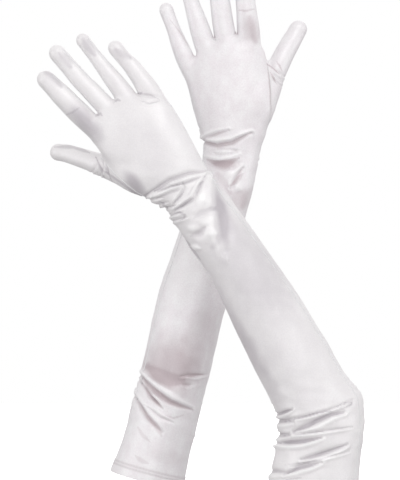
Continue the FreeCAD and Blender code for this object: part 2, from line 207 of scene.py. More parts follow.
class Skeleton:
    """Where one glove's joints are, and its directions, all read from the frame."""

    def __init__(self, name, thumb_side):
        self.name = name
        self.thumb_side = thumb_side      # +1 where the thumb is towards +X
        self.cuff3 = np.array(MOUNTS[f"{name}_arm_opening"]["pos_m"])
        self.y = self.cuff3[1]
        self.cuff = flat(self.cuff3)
        self.elbow = flat(JOINTS[f"{name}_elbow"]["pos_m"])
        self.wrist = flat(JOINTS[f"{name}_wrist"]["pos_m"])
        self.sleeve_way = unit(self.elbow - self.cuff)
        self.arm_way = unit(self.wrist - self.elbow)
        self.sleeve_length = np.linalg.norm(self.elbow - self.cuff)
        self.arm_length = np.linalg.norm(self.wrist - self.elbow)
        self.roots, self.ways, self.tips = {}, {}, {}
        for finger in FINGERS:
            joint = JOINTS[f"{name}_{finger}_knuckle"]["pos_m"]
            tip = farthest_vertex(f"{name}_{finger}_finger_stall", joint)
            self.ways[finger] = unit(flat(tip) - flat(joint))
            self.roots[finger] = flat(joint) - self.ways[finger] * KNUCKLE_HINGE
            self.tips[finger] = flat(tip)
        middle = (self.roots["middle"] + self.roots["ring"]) / 2
        self.hand_way = unit(middle - self.wrist)
        self.hand_out = np.array([self.hand_way[1], -self.hand_way[0]]) * thumb_side
        self.thumb_joint = np.array(JOINTS[f"{name}_thumb_root"]["pos_m"])
        self.thumb_tip = farthest_vertex(f"{name}_thumb_stall", self.thumb_joint)
        self.thumb_way = unit(self.thumb_tip - self.thumb_joint)

    def hand_point(self, along, out):
        """A point of the glove's plane, from its place in the hand."""
        return self.wrist + self.hand_way * along + self.hand_out * out

    def hand_place(self, points):
        """How far along the hand and out to the thumb side each (x, z) point lies."""
        rel = points - self.wrist
        return rel @ self.hand_way, rel @ self.hand_out

    def solid(self, point):
        """A point of the glove's plane in the frame."""
        return Vector((point[0], self.y, point[1]))


# --- distance fields -----------------------------------------------------------------

ROUND = 2.0               # the power of a round outline


def smooth_curve(at, stations, values):
    """A smooth curve through the values at the stations, held level past both ends."""
    stations, values = np.asarray(stations, float), np.asarray(values, float)
    slopes = np.gradient(values, stations)
    slopes[0] = slopes[-1] = 0
    at = np.clip(at, stations[0], stations[-1])
    i = np.clip(np.searchsorted(stations, at) - 1, 0, len(stations) - 2)
    width = stations[i + 1] - stations[i]
    u = (at - stations[i]) / width
    start = values[i] * (1 + 2 * u) * (1 - u) ** 2 + slopes[i] * width * u * (1 - u) ** 2
    end = values[i + 1] * u * u * (3 - 2 * u) + slopes[i + 1] * width * u * u * (u - 1)
    return start + end


def smooth_min(a, b, reach):
    """The lower of two fields, with a fillet where they are within reach of each other."""
    h = np.clip(0.5 + 0.5 * (b - a) / reach, 0, 1)
    return b * (1 - h) + a * h - reach * h * (1 - h)


class Path:
    """A smooth line in a glove's plane, through points, with a length along it."""

    def __init__(self, points, rounding, step=1.5 * MM):
        points = [np.asarray(p, float) for p in points]
        line = [points[0]]
        for before, corner, after in zip(points, points[1:], points[2:]):
            into, out = unit(corner - before), unit(after - corner)
            reach = min(rounding, 0.45 * np.linalg.norm(corner - before),
                        0.45 * np.linalg.norm(after - corner))
            for u in np.linspace(0, 1, 12):
                a, b = corner - into * reach, corner + out * reach
                line.append(a * (1 - u) ** 2 + 2 * corner * u * (1 - u) + b * u * u)
        line.append(points[-1])
        line = np.array(line)
        lengths = np.concatenate([[0], np.cumsum(np.linalg.norm(np.diff(line, axis=0), axis=1))])
        count = int(lengths[-1] / step) + 1
        self.along = np.linspace(0, lengths[-1], count)
        self.points = np.stack([np.interp(self.along, lengths, line[:, k]) for k in (0, 1)], 1)
        ways = np.gradient(self.points, self.along, axis=0)
        self.ways = ways / np.linalg.norm(ways, axis=1)[:, None]
        self.length = lengths[-1]

    def at(self, along):
        """The path's point and its direction there."""
        return tuple(np.array([np.interp(along, self.along, values[:, k]) for k in (0, 1)])
                     for values in (self.points, self.ways))

    def locate(self, x, z):
        """How far along the path each point is, and how far to its +X side."""
        shape = np.broadcast(x, z).shape
        spots = np.stack([np.broadcast_to(x, shape).ravel(), np.broadcast_to(z, shape).ravel()], 1)
        nearest = np.empty(len(spots), int)
        for start in range(0, len(spots), 20000):
            block = spots[start:start + 20000]
            gap = ((block[:, None] - self.points[None]) ** 2).sum(2)
            nearest[start:start + 20000] = gap.argmin(1)
        rel = spots - self.points[nearest]
        way = self.ways[nearest]
        along = self.along[nearest] + (rel * way).sum(1)
        side = rel[:, 0] * way[:, 1] - rel[:, 1] * way[:, 0]
        return along.reshape(shape), side.reshape(shape)


class Limb:
    """A tube along a path. Each size is a curve of the length along it; left and right are
    half-widths, deep is the half-depth, back is how far its middle lies behind the plane, and
    power is the outline's: round at 2, squarer above. ends are where the tube starts and
    ends, and caps how far its rounded ends reach past them."""

    def __init__(self, path, stations, left, right, deep, back, ends, caps, power=None):
        self.path, self.stations = path, stations
        self.left, self.right, self.deep = left, right, deep
        self.back, self.caps = back, caps
        self.power = power or [ROUND] * len(stations)
        self.start, self.end = ends

    def curve(self, values, along):
        return smooth_curve(along, self.stations, values)

    def distance(self, x, y, z, plane_y, end_shift=None):
        """The signed distance to the tube, near enough, on a grid of x, y and z."""
        along, side = self.path.locate(x, z)
        half = np.where(side > 0, self.curve(self.right, along), self.curve(self.left, along))
        deep = self.curve(self.deep, along)
        power = self.curve(self.power, along)
        end = self.end if end_shift is None else self.end + end_shift(x, z)
        past = np.maximum((along - end) / self.caps[1], 0) + np.maximum(
            (self.start - along) / self.caps[0], 0)
        depth = y - plane_y - self.curve(self.back, along)
        u = np.abs(side / half) ** power
        v = np.abs(depth / deep) ** power
        w = past ** 2
        level = np.maximum(u + v + w, 1e-9) ** (1 / power)
        slope = level ** (1 - power) * np.sqrt(
            (np.abs(side / half) ** (power - 1) / half) ** 2
            + (np.abs(depth / deep) ** (power - 1) / deep) ** 2
            + (past / self.caps[1]) ** 2)
        return (level - 1) / np.maximum(slope, 1 / (4 * np.maximum(half, deep)))


class Field:
    """Samples of one glove's signed distance on a regular grid."""

    def __init__(self, low, high, spacing):
        self.low, self.spacing = np.asarray(low, float), spacing
        counts = np.ceil((np.asarray(high) - self.low) / spacing).astype(int) + 1
        self.axes = [self.low[k] + spacing * np.arange(counts[k]) for k in range(3)]
        self.values = np.full(counts, 1.0, np.float32)

    def window(self, low, high):
        """The slices of the grid that cover a box."""
        slices = []
        for k in range(3):
            first = int(np.floor((low[k] - self.low[k]) / self.spacing))
            last = int(np.ceil((high[k] - self.low[k]) / self.spacing)) + 1
            slices.append(slice(max(first, 0), min(last, len(self.axes[k]))))
        return tuple(slices)

    def grid(self, window):
        x, y, z = (axis[part] for axis, part in zip(self.axes, window))
        return x[:, None, None], y[None, :, None], z[None, None, :]

    def add(self, limb, plane_y, reach, end_shift=None, margin=14 * MM):
        """Join a limb on, with a fillet of that reach."""
        wide = max(max(limb.left), max(limb.right)) + margin
        deep = max(limb.deep) + max(limb.back) + margin
        low, high = limb.path.points.min(0) - wide, limb.path.points.max(0) + wide
        window = self.window((low[0], plane_y - deep, low[1]), (high[0], plane_y + deep, high[1]))
        x, y, z = self.grid(window)
        distance = limb.distance(x, y, z, plane_y, end_shift).astype(np.float32)
        self.values[window] = smooth_min(self.values[window], distance, reach)

    def sample(self, points):
        """The field between the grid's points."""
        rel = (points - self.low) / self.spacing
        top = np.array(self.values.shape) - 2
        cell = np.clip(np.floor(rel).astype(int), 0, top)
        f = np.clip(rel - cell, 0, 1)
        total = 0
        for dx in (0, 1):
            for dy in (0, 1):
                for dz in (0, 1):
                    weight = (np.where(dx, f[:, 0], 1 - f[:, 0])
                              * np.where(dy, f[:, 1], 1 - f[:, 1])
                              * np.where(dz, f[:, 2], 1 - f[:, 2]))
                    total = total + weight * self.values[cell[:, 0] + dx, cell[:, 1] + dy,
                                                         cell[:, 2] + dz]
        return total

    def slope(self, points):
        """The field's gradient between the grid's points."""
        step = self.spacing
        parts = []
        for k in range(3):
            shift = np.zeros(3)
            shift[k] = step
            parts.append((self.sample(points + shift) - self.sample(points - shift)) / (2 * step))
        return np.stack(parts, 1)

    def mesh(self, smoothing=3):
        """Points and quads of the surface where the field is zero."""
        inside = self.values < 0
        counts = np.array(self.values.shape) - 1
        total = np.zeros(counts, np.uint8)
        corners = [(dx, dy, dz) for dx in (0, 1) for dy in (0, 1) for dz in (0, 1)]
        for dx, dy, dz in corners:
            total += inside[dx:dx + counts[0], dy:dy + counts[1], dz:dz + counts[2]]
        cells = np.argwhere((total > 0) & (total < 8))
        numbers = np.full(counts, -1, np.int32)
        numbers[tuple(cells.T)] = np.arange(len(cells))
        values = np.stack([self.values[tuple((cells + c).T)] for c in corners], 1)
        spots = np.zeros((len(cells), 3))
        hits = np.zeros(len(cells))
        for a, first in enumerate(corners):
            for b, second in enumerate(corners):
                if sum(second) != sum(first) + 1 or any(q < p for p, q in zip(first, second)):
                    continue
                crossing = (values[:, a] < 0) != (values[:, b] < 0)
                gap = np.where(crossing, values[:, a] - values[:, b], 1)
                u = (values[:, a] / gap)[:, None]
                spot = np.array(first) * (1 - u) + np.array(second) * u
                spots += spot * crossing[:, None]
                hits += crossing
        points = self.low + (cells + spots / hits[:, None]) * self.spacing
        quads = []
        for axis in range(3):
            other, third = (axis + 1) % 3, (axis + 2) % 3
            near = [slice(None)] * 3
            far = [slice(None)] * 3
            near[axis], far[axis] = slice(0, -1), slice(1, None)
            change = inside[tuple(near)] != inside[tuple(far)]
            edges = np.argwhere(change)
            keep = ((edges[:, other] > 0) & (edges[:, third] > 0)
                    & (edges[:, other] < counts[other]) & (edges[:, third] < counts[third]))
            edges = edges[keep]
            ring = []
            for a, b in ((-1, -1), (0, -1), (0, 0), (-1, 0)):
                shift = np.zeros(3, int)
                shift[other], shift[third] = a, b
                ring.append(numbers[tuple((edges + shift).T)])
            ring = np.stack(ring, 1)
            outward = inside[tuple(edges.T)]
            ring[~outward] = ring[~outward][:, ::-1]
            quads.append(ring)
        quads = np.concatenate(quads)
        for _ in range(smoothing):
            points = relax(points, quads)
            points = self.settle(points)
        return points, quads

    def settle(self, points):
        """Points moved onto the surface."""
        slope = self.slope(points)
        size = np.maximum((slope ** 2).sum(1), 0.05)
        return points - slope * (self.sample(points) / size)[:, None]


def relax(points, quads, share=0.5):
    """Each point moved part of the way to the middle of its neighbours."""
    total, count = np.zeros_like(points), np.zeros(len(points))
    for k in range(4):
        for other in ((k + 1) % 4, (k + 3) % 4):
            np.add.at(total, quads[:, k], points[quads[:, other]])
            np.add.at(count, quads[:, k], 1)
    return points * (1 - share) + total / np.maximum(count, 1)[:, None] * share


def vertex_normals(points, quads):
    """Smooth normals of a quad mesh."""
    a, b, c, d = (points[quads[:, k]] for k in range(4))
    face = np.cross(c - a, d - b)
    total = np.zeros_like(points)
    for k in range(4):
        np.add.at(total, quads[:, k], face)
    return total / np.maximum(np.linalg.norm(total, axis=1), 1e-12)[:, None]


# --- wrinkles ------------------------------------------------------------------------


def blend_step(value, low, high):
    """0 below low, 1 above high, and a smooth step between them."""
    u = np.clip((value - low) / (high - low), 0, 1)
    return u * u * (3 - 2 * u)


def stroke_distance(points, line):
    """Signed distance of (a, b) points from a line, positive to its left, and how far along
    the line, from 0 to 1, the nearest point of it is."""
    line = np.asarray(line, float) * MM
    lengths = np.linalg.norm(np.diff(line, axis=0), axis=1)
    starts = np.concatenate([[0], np.cumsum(lengths)])
    best = np.full(len(points), 1e9)
    share, sign = np.zeros(len(points)), np.ones(len(points))
    for k, length in enumerate(lengths):
        way = (line[k + 1] - line[k]) / length
        rel = points - line[k]
        t = np.clip(rel @ way, 0, length)
        gap = np.linalg.norm(rel - t[:, None] * way, axis=1)
        nearer = gap < best
        best = np.where(nearer, gap, best)
        share = np.where(nearer, (starts[k] + t) / starts[-1], share)
        side = way[0] * rel[:, 1] - way[1] * rel[:, 0]
        sign = np.where(nearer, np.sign(side), sign)
    return best * sign, share


def fold_lift(points, line, depth, width, lip):
    """The height of one fold: a valley on the line, narrow at its ends, and a ridge to its
    left. A negative depth makes it a ridge."""
    gap, share = stroke_distance(points, line)
    taper = np.sin(math.pi * np.clip(share, 0.04, 0.96)) ** 0.6
    width = width * MM * (0.4 + 0.6 * taper)
    valley = np.exp(-(gap / width) ** 2)
    ridge = np.exp(-((gap - 1.9 * width) / (1.1 * width)) ** 2)
    return depth * MM * (0.35 + 0.65 * taper) * (lip * ridge - valley)


def stroke_tone(points, line, half):
    """1 in the middle of a stroke of painted shadow that is narrow at its ends, 0 outside it."""
    gap, share = stroke_distance(points, line)
    broad = half > 4
    taper = np.sin(math.pi * np.clip(share, 0.04, 0.96)) ** (0.3 if broad else 0.6)
    return blend_step(-np.abs(gap) / (half * MM * taper), -1.3, -0.1 if broad else -0.5)


def noise_field(points, size, stretch, seed):
    """Smooth seeded noise, about -1 to 1, with lumps of that size."""
    offset = np.array([17.3, 5.1, 9.7]) * (seed + 1)
    spots = points / (size * np.asarray(stretch)) + offset
    return np.array([noise.noise(spot) for spot in spots.tolist()])


# --- one glove -----------------------------------------------------------------------

FABRIC = 0.5 * MM         # the satin's thickness
GRID = 1.0 * MM           # the grain of the distance field and of the mesh
HEM_DEPTH = 12 * MM
HEM_ROWS = (8 * MM, 11 * MM)      # the twin-needle stitching, above the edge
PAINTED_LIGHT_ATTRIBUTE = "tone"             # the attribute of painted shade on the satin, and of painted highlight where it is negative
FOLD_PAINTED_SHADE = 0.6           # how much painted shade darkens the satin deep in a fold
RIDGE_PAINTED_HIGHLIGHT = 0.7          # how much a painted highlight lightens the ridge beside a fold
FOLD_DEPTHS = (0.3 * MM, 2.2 * MM)     # where that painted shade starts, and where it is full
RIDGE_HEIGHTS = (0.15 * MM, 1.2 * MM)  # the same for that painted highlight
PATCH_EDGE = (-1.5, -0.3)  # a patch of painted shade fades out between these shares of its size
RAGGED = 0.18             # how uneven its edge is
GROOVE = 0.3 * MM         # how deep a row of stitches pulls the hem in
GROOVE_HALF = 0.9 * MM
# painted shade in the groove that each row of stitches pulls into the hem
GROOVE_PAINTED_SHADE = 0.5
# unevenness of the cloth, of four kinds: the size of its lumps, their stretch and the seed
BUMPS = [(26 * MM, (1, 1, 1.6), 0), (14 * MM, (1, 1, 1.3), 11), (11 * MM, (1.6, 1, 0.8), 7),
         (4 * MM, (1, 1, 1), 3)]
BUMP_HEIGHTS = (0.6 * MM, 0.35 * MM, 0.06 * MM)   # of all but the third kind
AROUND = 55 * MM          # the field's room beside a glove, which holds its half-width
FIELD_DEPTH = 50 * MM     # and in front of its plane and behind
BELOW, ABOVE = 6 * MM, 8 * MM     # and below its hem and above its fingertips
BEYOND_HEM = 30 * MM      # the arm's tube starts this far below the hem, which cuts it off
PALM_END = 76 * MM        # from the wrist to the end of the palm's tube
# the palm's end is highest between two places across the hand, and falls away beside them
PALM_TOP = (5 * MM, 20 * MM)
PALM_RISE, PALM_FALLS = 8, (0.013, 0.012)
ARM_ROUNDING = 45 * MM    # how gently the arm's middle line turns at its corners
FINGER_ROUNDING, THUMB_ROUNDING = 20 * MM, 25 * MM
FILLET = {"palm": 2 * MM, "between": 1.4 * MM, "fingers": 4 * MM, "thumb": 7 * MM}
# the third kind is CREASED_BY high, in millimetres, and more where the elbow and the wrist
# bend: the middle of that stretch, from the joint, how far it reaches and how much more
CREASED_BY = 0.1
CREASED = [(-15 * MM, 45 * MM, 0.5), (-5 * MM, 28 * MM, 0.4)]
DIGIT_STEP = 0.8 * MM     # between the points of a digit's middle line
FINGER_IN, THUMB_IN = 22 * MM, 42 * MM   # how far into the palm a digit's tube starts
FINGER_FLAT = 0.92        # a finger's depth for its width
CURL_START = 30 * MM      # along a finger's tube, where it starts to curl back
SEAM_END = 74 * MM        # past the wrist, where the side seam meets the little finger
ARM_SPLIT = 117 * MM      # from the elbow to the cut across the forearm
DIGIT_REACH = 1.7         # no part of a finger is further from its middle, in half-widths
PALM_CUTS = {"index": 9.5, "middle": 9, "ring": 7.5, "little": 3.5, "thumb": 1.5}
NEAR = {"hem": 70 * MM, "arm": 60 * MM, "digit": 22 * MM}   # how far a border's cut reaches
REACH = {"elbow": 45 * MM, "wrist": 22 * MM, "digit": 20 * MM}
DIGITS = (*FINGERS, "thumb")


class Facts:
    """What differs between the two gloves. Sizes are in millimetres."""

    def __init__(self, thumb_side, arm, hand, fingers, thumb, folds, patches, shades, seed):
        self.thumb_side, self.arm, self.hand = thumb_side, arm, hand
        self.fingers, self.thumb, self.folds = fingers, thumb, folds
        self.patches, self.shades, self.seed = patches, shades, seed


def columns(rows):
    """Rows of millimetres as lists of metres, one for each column."""
    return [[value * MM for value in column] for column in zip(*rows)]


class Glove:
    def __init__(self, name, facts):
        self.name, self.facts = name, facts
        self.bones = Skeleton(name, facts.thumb_side)
        self.digit_paths, self.digit_start = {}, {}
        self.field = self.make_field()

    def make_field(self):
        bones, facts = self.bones, self.facts
        plane = bones.y
        spots = [bones.cuff, bones.elbow, bones.wrist, *bones.tips.values(),
                 flat(bones.thumb_tip)]
        low, high = np.min(spots, 0) - AROUND, np.max(spots, 0) + AROUND
        low[1] = bones.cuff[1] - BELOW
        high[1] = max(spot[1] for spot in spots) + ABOVE
        low_corner = (low[0], plane - FIELD_DEPTH, low[1])
        high_corner = (high[0], plane + FIELD_DEPTH, high[1])
        field = Field(low_corner, high_corner, GRID)

        # the arm, on through the wrist to the finger roots; its sizes are by length from the
        # elbow as far as the wrist, and from the wrist after it
        beyond = bones.cuff - bones.sleeve_way * BEYOND_HEM
        knuckles = bones.hand_point(75 * MM, 0)
        path = Path([beyond, bones.elbow, bones.wrist, knuckles], ARM_ROUNDING)
        self.arm_path = path
        self.elbow_at = self.path_place(path, bones.elbow)
        self.wrist_at = self.path_place(path, bones.wrist)
        arm = columns(facts.arm)
        hand = columns(facts.hand)
        places = [self.elbow_at + a for a in arm[0]] + [self.wrist_at + h for h in hand[0]]
        left, right, deep_half, back = (arm[k] + hand[k] for k in (1, 2, 3, 4))
        power = [ROUND] * len(arm[0]) + [row[5] for row in facts.hand]
        limb = Limb(path, places, left, right, deep_half, back, (0, self.wrist_at + PALM_END),
                    (2 * MM, 14 * MM), power)
        field.add(limb, plane, FILLET["palm"], end_shift=self.palm_end)

        fingers = Field(field.low, high_corner, GRID)
        for finger, (bow, widths, curl) in facts.fingers.items():
            fingers.add(self.finger_limb(finger, bow, widths, curl), plane, FILLET["between"])
        field.values = smooth_min(field.values, fingers.values, FILLET["fingers"])
        field.add(self.thumb_limb(), plane, FILLET["thumb"])
        return field

    @staticmethod
    def path_place(path, point):
        along, _ = path.locate(np.array([point[0]]), np.array([point[1]]))
        return along[0]

    def palm_end(self, x, z):
        """How much further than its centre line the palm reaches at each place."""
        out = (x - self.bones.wrist[0]) * self.bones.hand_out[0] + (
            z - self.bones.wrist[1]) * self.bones.hand_out[1]
        inner = np.minimum(out - PALM_TOP[0], 0) / MM
        outer = np.maximum(out - PALM_TOP[1], 0) / MM
        return (PALM_RISE - PALM_FALLS[0] * inner ** 2 - PALM_FALLS[1] * outer ** 2) * MM

    def finger_limb(self, finger, bow, widths, curl):
        """bow: (along, aside) offsets of the middle line; widths: (along, half-width)."""
        bones = self.bones
        root, way, tip = bones.roots[finger], bones.ways[finger], bones.tips[finger]
        aside = np.array([way[1], -way[0]]) * bones.thumb_side
        length = np.linalg.norm(tip - root)
        points = [root - way * FINGER_IN]
        points += [root + way * a * MM + aside * b * MM for a, b in bow]
        points += [tip + aside * bow[-1][1] * MM]
        path = Path(points, FINGER_ROUNDING, DIGIT_STEP)
        stations = [0, 12 * MM] + [FINGER_IN + a * MM for a, _ in widths]
        first = widths[0][1] * MM
        halves = [first * 0.8, first * 0.95] + [w * MM for _, w in widths]
        deep = [half * FINGER_FLAT for half in halves]
        total = FINGER_IN + length
        back = [curl * MM * max(0, s - CURL_START) ** 2 / total ** 2 for s in stations]
        tip_half = halves[-1]
        limb = Limb(path, stations, halves, halves, deep, back,
                    (0, path.length - tip_half), (8 * MM, tip_half * 1.08))
        self.digit_paths[finger] = limb
        self.digit_start[finger] = FINGER_IN + PALM_CUTS[finger] * MM
        return limb

    def thumb_limb(self):
        """The thumb and its gusset, from deep in the palm."""
        bones, facts = self.bones, self.facts
        joint, tip = flat(bones.thumb_joint), flat(bones.thumb_tip)
        way = unit(tip - joint)
        aside = np.array([way[1], -way[0]]) * bones.thumb_side
        start = joint - way * THUMB_IN
        points = [start] + [joint + way * a * MM + aside * b * MM for a, b in facts.thumb["bow"]]
        points += [tip]
        path = Path(points, THUMB_ROUNDING, DIGIT_STEP)
        stations, inner, outer, deep = columns(facts.thumb["sizes"])
        dip = bones.thumb_way[1] / math.hypot(bones.thumb_way[0], bones.thumb_way[2])
        at_hinge = bones.thumb_joint[1] - bones.y
        back = [max(at_hinge + dip * s, 0) for s in stations]
        stations = [THUMB_IN + s for s in stations]
        left, right = (inner, outer) if bones.thumb_side > 0 else (outer, inner)
        limb = Limb(path, stations, left, right, deep, back,
                    (0, path.length - deep[-1]), (10 * MM, deep[-1] * 1.05))
        self.digit_paths["thumb"] = limb
        self.digit_start["thumb"] = THUMB_IN + PALM_CUTS["thumb"] * MM
        return limb

    def digit_cut(self, digit):
        """Where a digit's piece starts, just beyond the crotches beside it, and its way."""
        place, way = self.digit_paths[digit].path.at(self.digit_start[digit])
        return self.bones.solid(place), Vector((way[0], 0, way[1])).normalized()

    def digit_gap(self, digit, spots):
        """How far each spot is from a digit's middle line, in half-widths; endless before
        the place where its piece starts."""
        limb = self.digit_paths[digit]
        place, way = self.digit_cut(digit)
        along, side = limb.path.locate(spots[:, 0], spots[:, 2])
        depth = spots[:, 1] - self.bones.y - limb.curve(limb.back, along)
        gap = np.hypot(side, depth) / limb.curve(limb.deep, along)
        beyond = (spots - np.array(place)) @ np.array(way) > 0
        return np.where(beyond, gap, np.inf)

    def elbow_bend(self):
        """Where the cloth starts and stops bending at the elbow."""
        bones = self.bones
        return (bones.solid(bones.elbow - bones.sleeve_way * REACH["elbow"]),
                bones.solid(bones.elbow + bones.arm_way * REACH["elbow"]))

    def wrist_bend(self):
        bones = self.bones
        return (bones.solid(bones.wrist - bones.arm_way * REACH["wrist"]),
                bones.solid(bones.wrist + bones.hand_way * REACH["wrist"]))

    # --- the skin and its folds ---

    def places(self, points, frame_name):
        """The (along, across) of each point in one of the glove's own frames."""
        flat_points = points[:, [0, 2]]
        bones = self.bones
        if frame_name == "hand":
            return np.stack(bones.hand_place(flat_points), 1)
        start, way = {"sleeve": (bones.elbow, bones.sleeve_way),
                      "arm": (bones.elbow, bones.arm_way)}[frame_name]
        rel = flat_points - start
        return np.stack([rel @ way, rel @ np.array([way[1], -way[0]])], 1)

    def seen(self, face, normals):
        """1 where the skin faces that way, and 0 behind."""
        facing = {"front": -normals[:, 1], "back": normals[:, 1]}[face]
        return blend_step(facing, -0.5, 0.1)

    def wrinkle(self, points, normals):
        """How far each point of the skin lifts, and how much painted shade it gets; negative where a painted
        highlight is.
        """
        lift, tone = np.zeros(len(points)), np.zeros(len(points))
        for face, frame_name, depth, width, lip, line in self.facts.folds + BACK_FOLDS:
            places = self.places(points, frame_name)
            lift += self.seen(face, normals) * fold_lift(places, line, depth, width, lip)
        # painted shade in each fold's valley, and a painted highlight on the ridge beside it
        tone += FOLD_PAINTED_SHADE * blend_step(-lift, *FOLD_DEPTHS)
        tone -= RIDGE_PAINTED_HIGHLIGHT * blend_step(lift, *RIDGE_HEIGHTS)
        seed = self.facts.seed
        ragged = RAGGED * noise_field(points, 9 * MM, (1, 1, 1), seed + 20)
        # patches of painted shade, and of painted light where the strength is negative, with ragged edges
        for face, frame_name, middle, half, strength in self.facts.patches:
            rel = (self.places(points, frame_name) / MM - middle) / half
            reach = np.linalg.norm(rel, axis=1) + ragged
            tone += self.seen(face, normals) * strength * blend_step(-reach, *PATCH_EDGE)
        # strokes of painted shadow along the folds and edges
        for face, frame_name, half, strength, line in self.facts.shades:
            stroke = stroke_tone(self.places(points, frame_name), line, half)
            tone += self.seen(face, normals) * strength * stroke
        cuff_rel = points[:, [0, 2]] - self.bones.cuff
        height = cuff_rel @ self.bones.sleeve_way
        # each row of stitches pulls a groove into the hem, darkened with painted shade
        for row in HEM_ROWS:
            groove = np.exp(-((height - row) / GROOVE_HALF) ** 2)
            lift -= GROOVE * groove
            tone += GROOVE_PAINTED_SHADE * groove
        along_arm = self.arm_path.locate(points[:, 0], points[:, 2])[0]
        creased = CREASED_BY
        for at, (middle, reach, more) in zip((self.elbow_at, self.wrist_at), CREASED):
            creased = creased + more * np.exp(-((along_arm - at - middle) / reach) ** 2)
        slow, middling, fine = BUMP_HEIGHTS
        heights = [slow, middling, creased * MM, fine]
        for height, (size, stretch, number) in zip(heights, BUMPS):
            lift += height * noise_field(points, size, stretch, seed + number)
        return lift, np.clip(tone, -1, 1)

    def skin(self):
        """The wrinkled surface, still in one piece: points, quads and painted shade."""
        points, quads = self.field.mesh()
        normals = vertex_normals(points, quads)
        lift, tone = self.wrinkle(points, normals)
        return points + normals * lift[:, None], quads, tone


def cut(mesh, place, way, near):
    """Score the mesh along a plane, only within a distance of a point of it."""
    geometry = [f for f in mesh.faces if (f.calc_center_median() - place).length < near]
    edges = {e for f in geometry for e in f.edges}
    points = {v for f in geometry for v in f.verts}
    bmesh.ops.bisect_plane(mesh, geom=list(points) + list(edges) + geometry, dist=1e-6,
                           plane_co=place, plane_no=way)


def delete_below(mesh, place, way):
    """Delete the mesh's faces below a plane."""
    lost = [f for f in mesh.faces if (f.calc_center_median() - place).dot(way) < 0]
    bmesh.ops.delete(mesh, geom=lost, context="FACES")


class Skin:
    """A glove's surface, cut into pieces: arrays of points, normals and faces, and the
    name of the piece that each face belongs to."""

    def __init__(self, glove):
        self.glove = glove
        points, quads, tone = glove.skin()
        mesh = bpy.data.meshes.new(f"{glove.name}_skin")
        mesh.from_pydata(points.tolist(), [], quads.tolist())
        mesh.attributes.new(PAINTED_LIGHT_ATTRIBUTE, "FLOAT", "POINT").data.foreach_set("value", tone)
        work = bmesh.new()
        work.from_mesh(mesh)
        bpy.data.meshes.remove(mesh)
        self.score(work)
        work.normal_update()
        self.points = np.array([v.co for v in work.verts])
        self.normals = np.array([v.normal for v in work.verts])
        layer = work.verts.layers.float[PAINTED_LIGHT_ATTRIBUTE]
        self.tones = np.array([v[layer] for v in work.verts])
        self.faces = [[v.index for v in f.verts] for f in work.faces]
        self.tree = BVHTree.FromBMesh(work)
        work.free()

    def score(self, work):
        """Cut along every border between pieces, and mark the faces."""
        bones = self.glove.bones
        cuff, sleeve = bones.solid(bones.cuff), Vector((*bones.sleeve_way, 0)).xzy
        split = bones.solid(bones.elbow + bones.arm_way * ARM_SPLIT)
        arm = Vector((*bones.arm_way, 0)).xzy
        delete_below(work, cuff - sleeve * BELOW / 2, sleeve)
        cut(work, cuff, sleeve, NEAR["hem"])
        delete_below(work, cuff, sleeve)
        hem_top = cuff + sleeve * HEM_DEPTH
        cut(work, hem_top, sleeve, NEAR["hem"])
        cut(work, split, arm, NEAR["arm"])
        for digit in DIGITS:
            cut(work, *self.glove.digit_cut(digit), NEAR["digit"])
        work.verts.index_update()
        work.faces.index_update()
        work.faces.ensure_lookup_table()
        centres = [f.calc_center_median() for f in work.faces]
        self.marks = ["palm"] * len(centres)
        for k, centre in enumerate(centres):
            if (centre - hem_top).dot(sleeve) < 0:
                self.marks[k] = "hem"
            elif (centre - split).dot(arm) < 0:
                self.marks[k] = "sleeve"
        spots = np.array(centres)
        gaps = np.stack([self.glove.digit_gap(digit, spots) for digit in DIGITS], 1)
        for k in np.flatnonzero(gaps.min(1) < DIGIT_REACH):
            self.marks[k] = DIGITS[gaps[k].argmin()]

    def piece(self, mark):
        """The points, normals and faces of one piece."""
        chosen = [face for face, name in zip(self.faces, self.marks) if name == mark]
        used = np.unique(np.concatenate([np.array(f) for f in chosen]))
        numbers = np.full(len(self.points), -1)
        numbers[used] = np.arange(len(used))
        faces = [[int(numbers[v]) for v in face] for face in chosen]
        return self.points[used], self.normals[used], self.tones[used], faces

    def hit(self, start, way):
        """Where a ray first meets the skin."""
        place, normal, _, _ = self.tree.ray_cast(Vector(start), Vector(way))
        return place, normal


def shell(name, points, normals, tones, faces, material, thickness, proud=0.0):
    """A piece of cloth: an outer and an inner side, and a rounded edge between them."""
    outer, inner = points + normals * proud, points + normals * (proud - thickness)
    count = len(points)
    uses = {}
    for face in faces:
        for a, b in zip(face, face[1:] + face[:1]):
            uses.pop((b, a), None) or uses.setdefault((a, b), True)
    rim = list(uses)
    middle_of, away = {}, {}
    for a, b in rim:
        along = points[b] - points[a]
        for v in (a, b):
            away[v] = away.get(v, 0) + np.cross(along, normals[v])
    extra, extra_normals = [], []
    for v, way in away.items():
        middle_of[v] = 2 * count + len(extra)
        way = way / max(np.linalg.norm(way), 1e-12)
        extra.append((outer[v] + inner[v]) / 2 + way * thickness * 0.3)
        extra_normals.append(way)
    everything = np.concatenate([outer, inner, np.array(extra).reshape(-1, 3)])
    all_faces = faces + [[v + count for v in reversed(face)] for face in faces]
    for a, b in rim:
        all_faces.append([b, a, middle_of[a], middle_of[b]])
        all_faces.append([middle_of[b], middle_of[a], a + count, b + count])
    mesh = bpy.data.meshes.new(name)
    mesh.from_pydata(everything.tolist(), [], all_faces)
    mesh.polygons.foreach_set("use_smooth", [True] * len(all_faces))
    vertex_ways = np.concatenate([normals, -normals, np.array(extra_normals).reshape(-1, 3)])
    mesh.normals_split_custom_set_from_vertices(vertex_ways.tolist())
    tones = np.concatenate([tones, tones, [tones[v] for v in away]])
    mesh.attributes.new(PAINTED_LIGHT_ATTRIBUTE, "FLOAT", "POINT").data.foreach_set("value", tones)
    mesh.materials.append(material)
    piece = bpy.data.objects.new(name, mesh)
    bpy.context.collection.objects.link(piece)
    return piece


# --- materials -----------------------------------------------------------------------


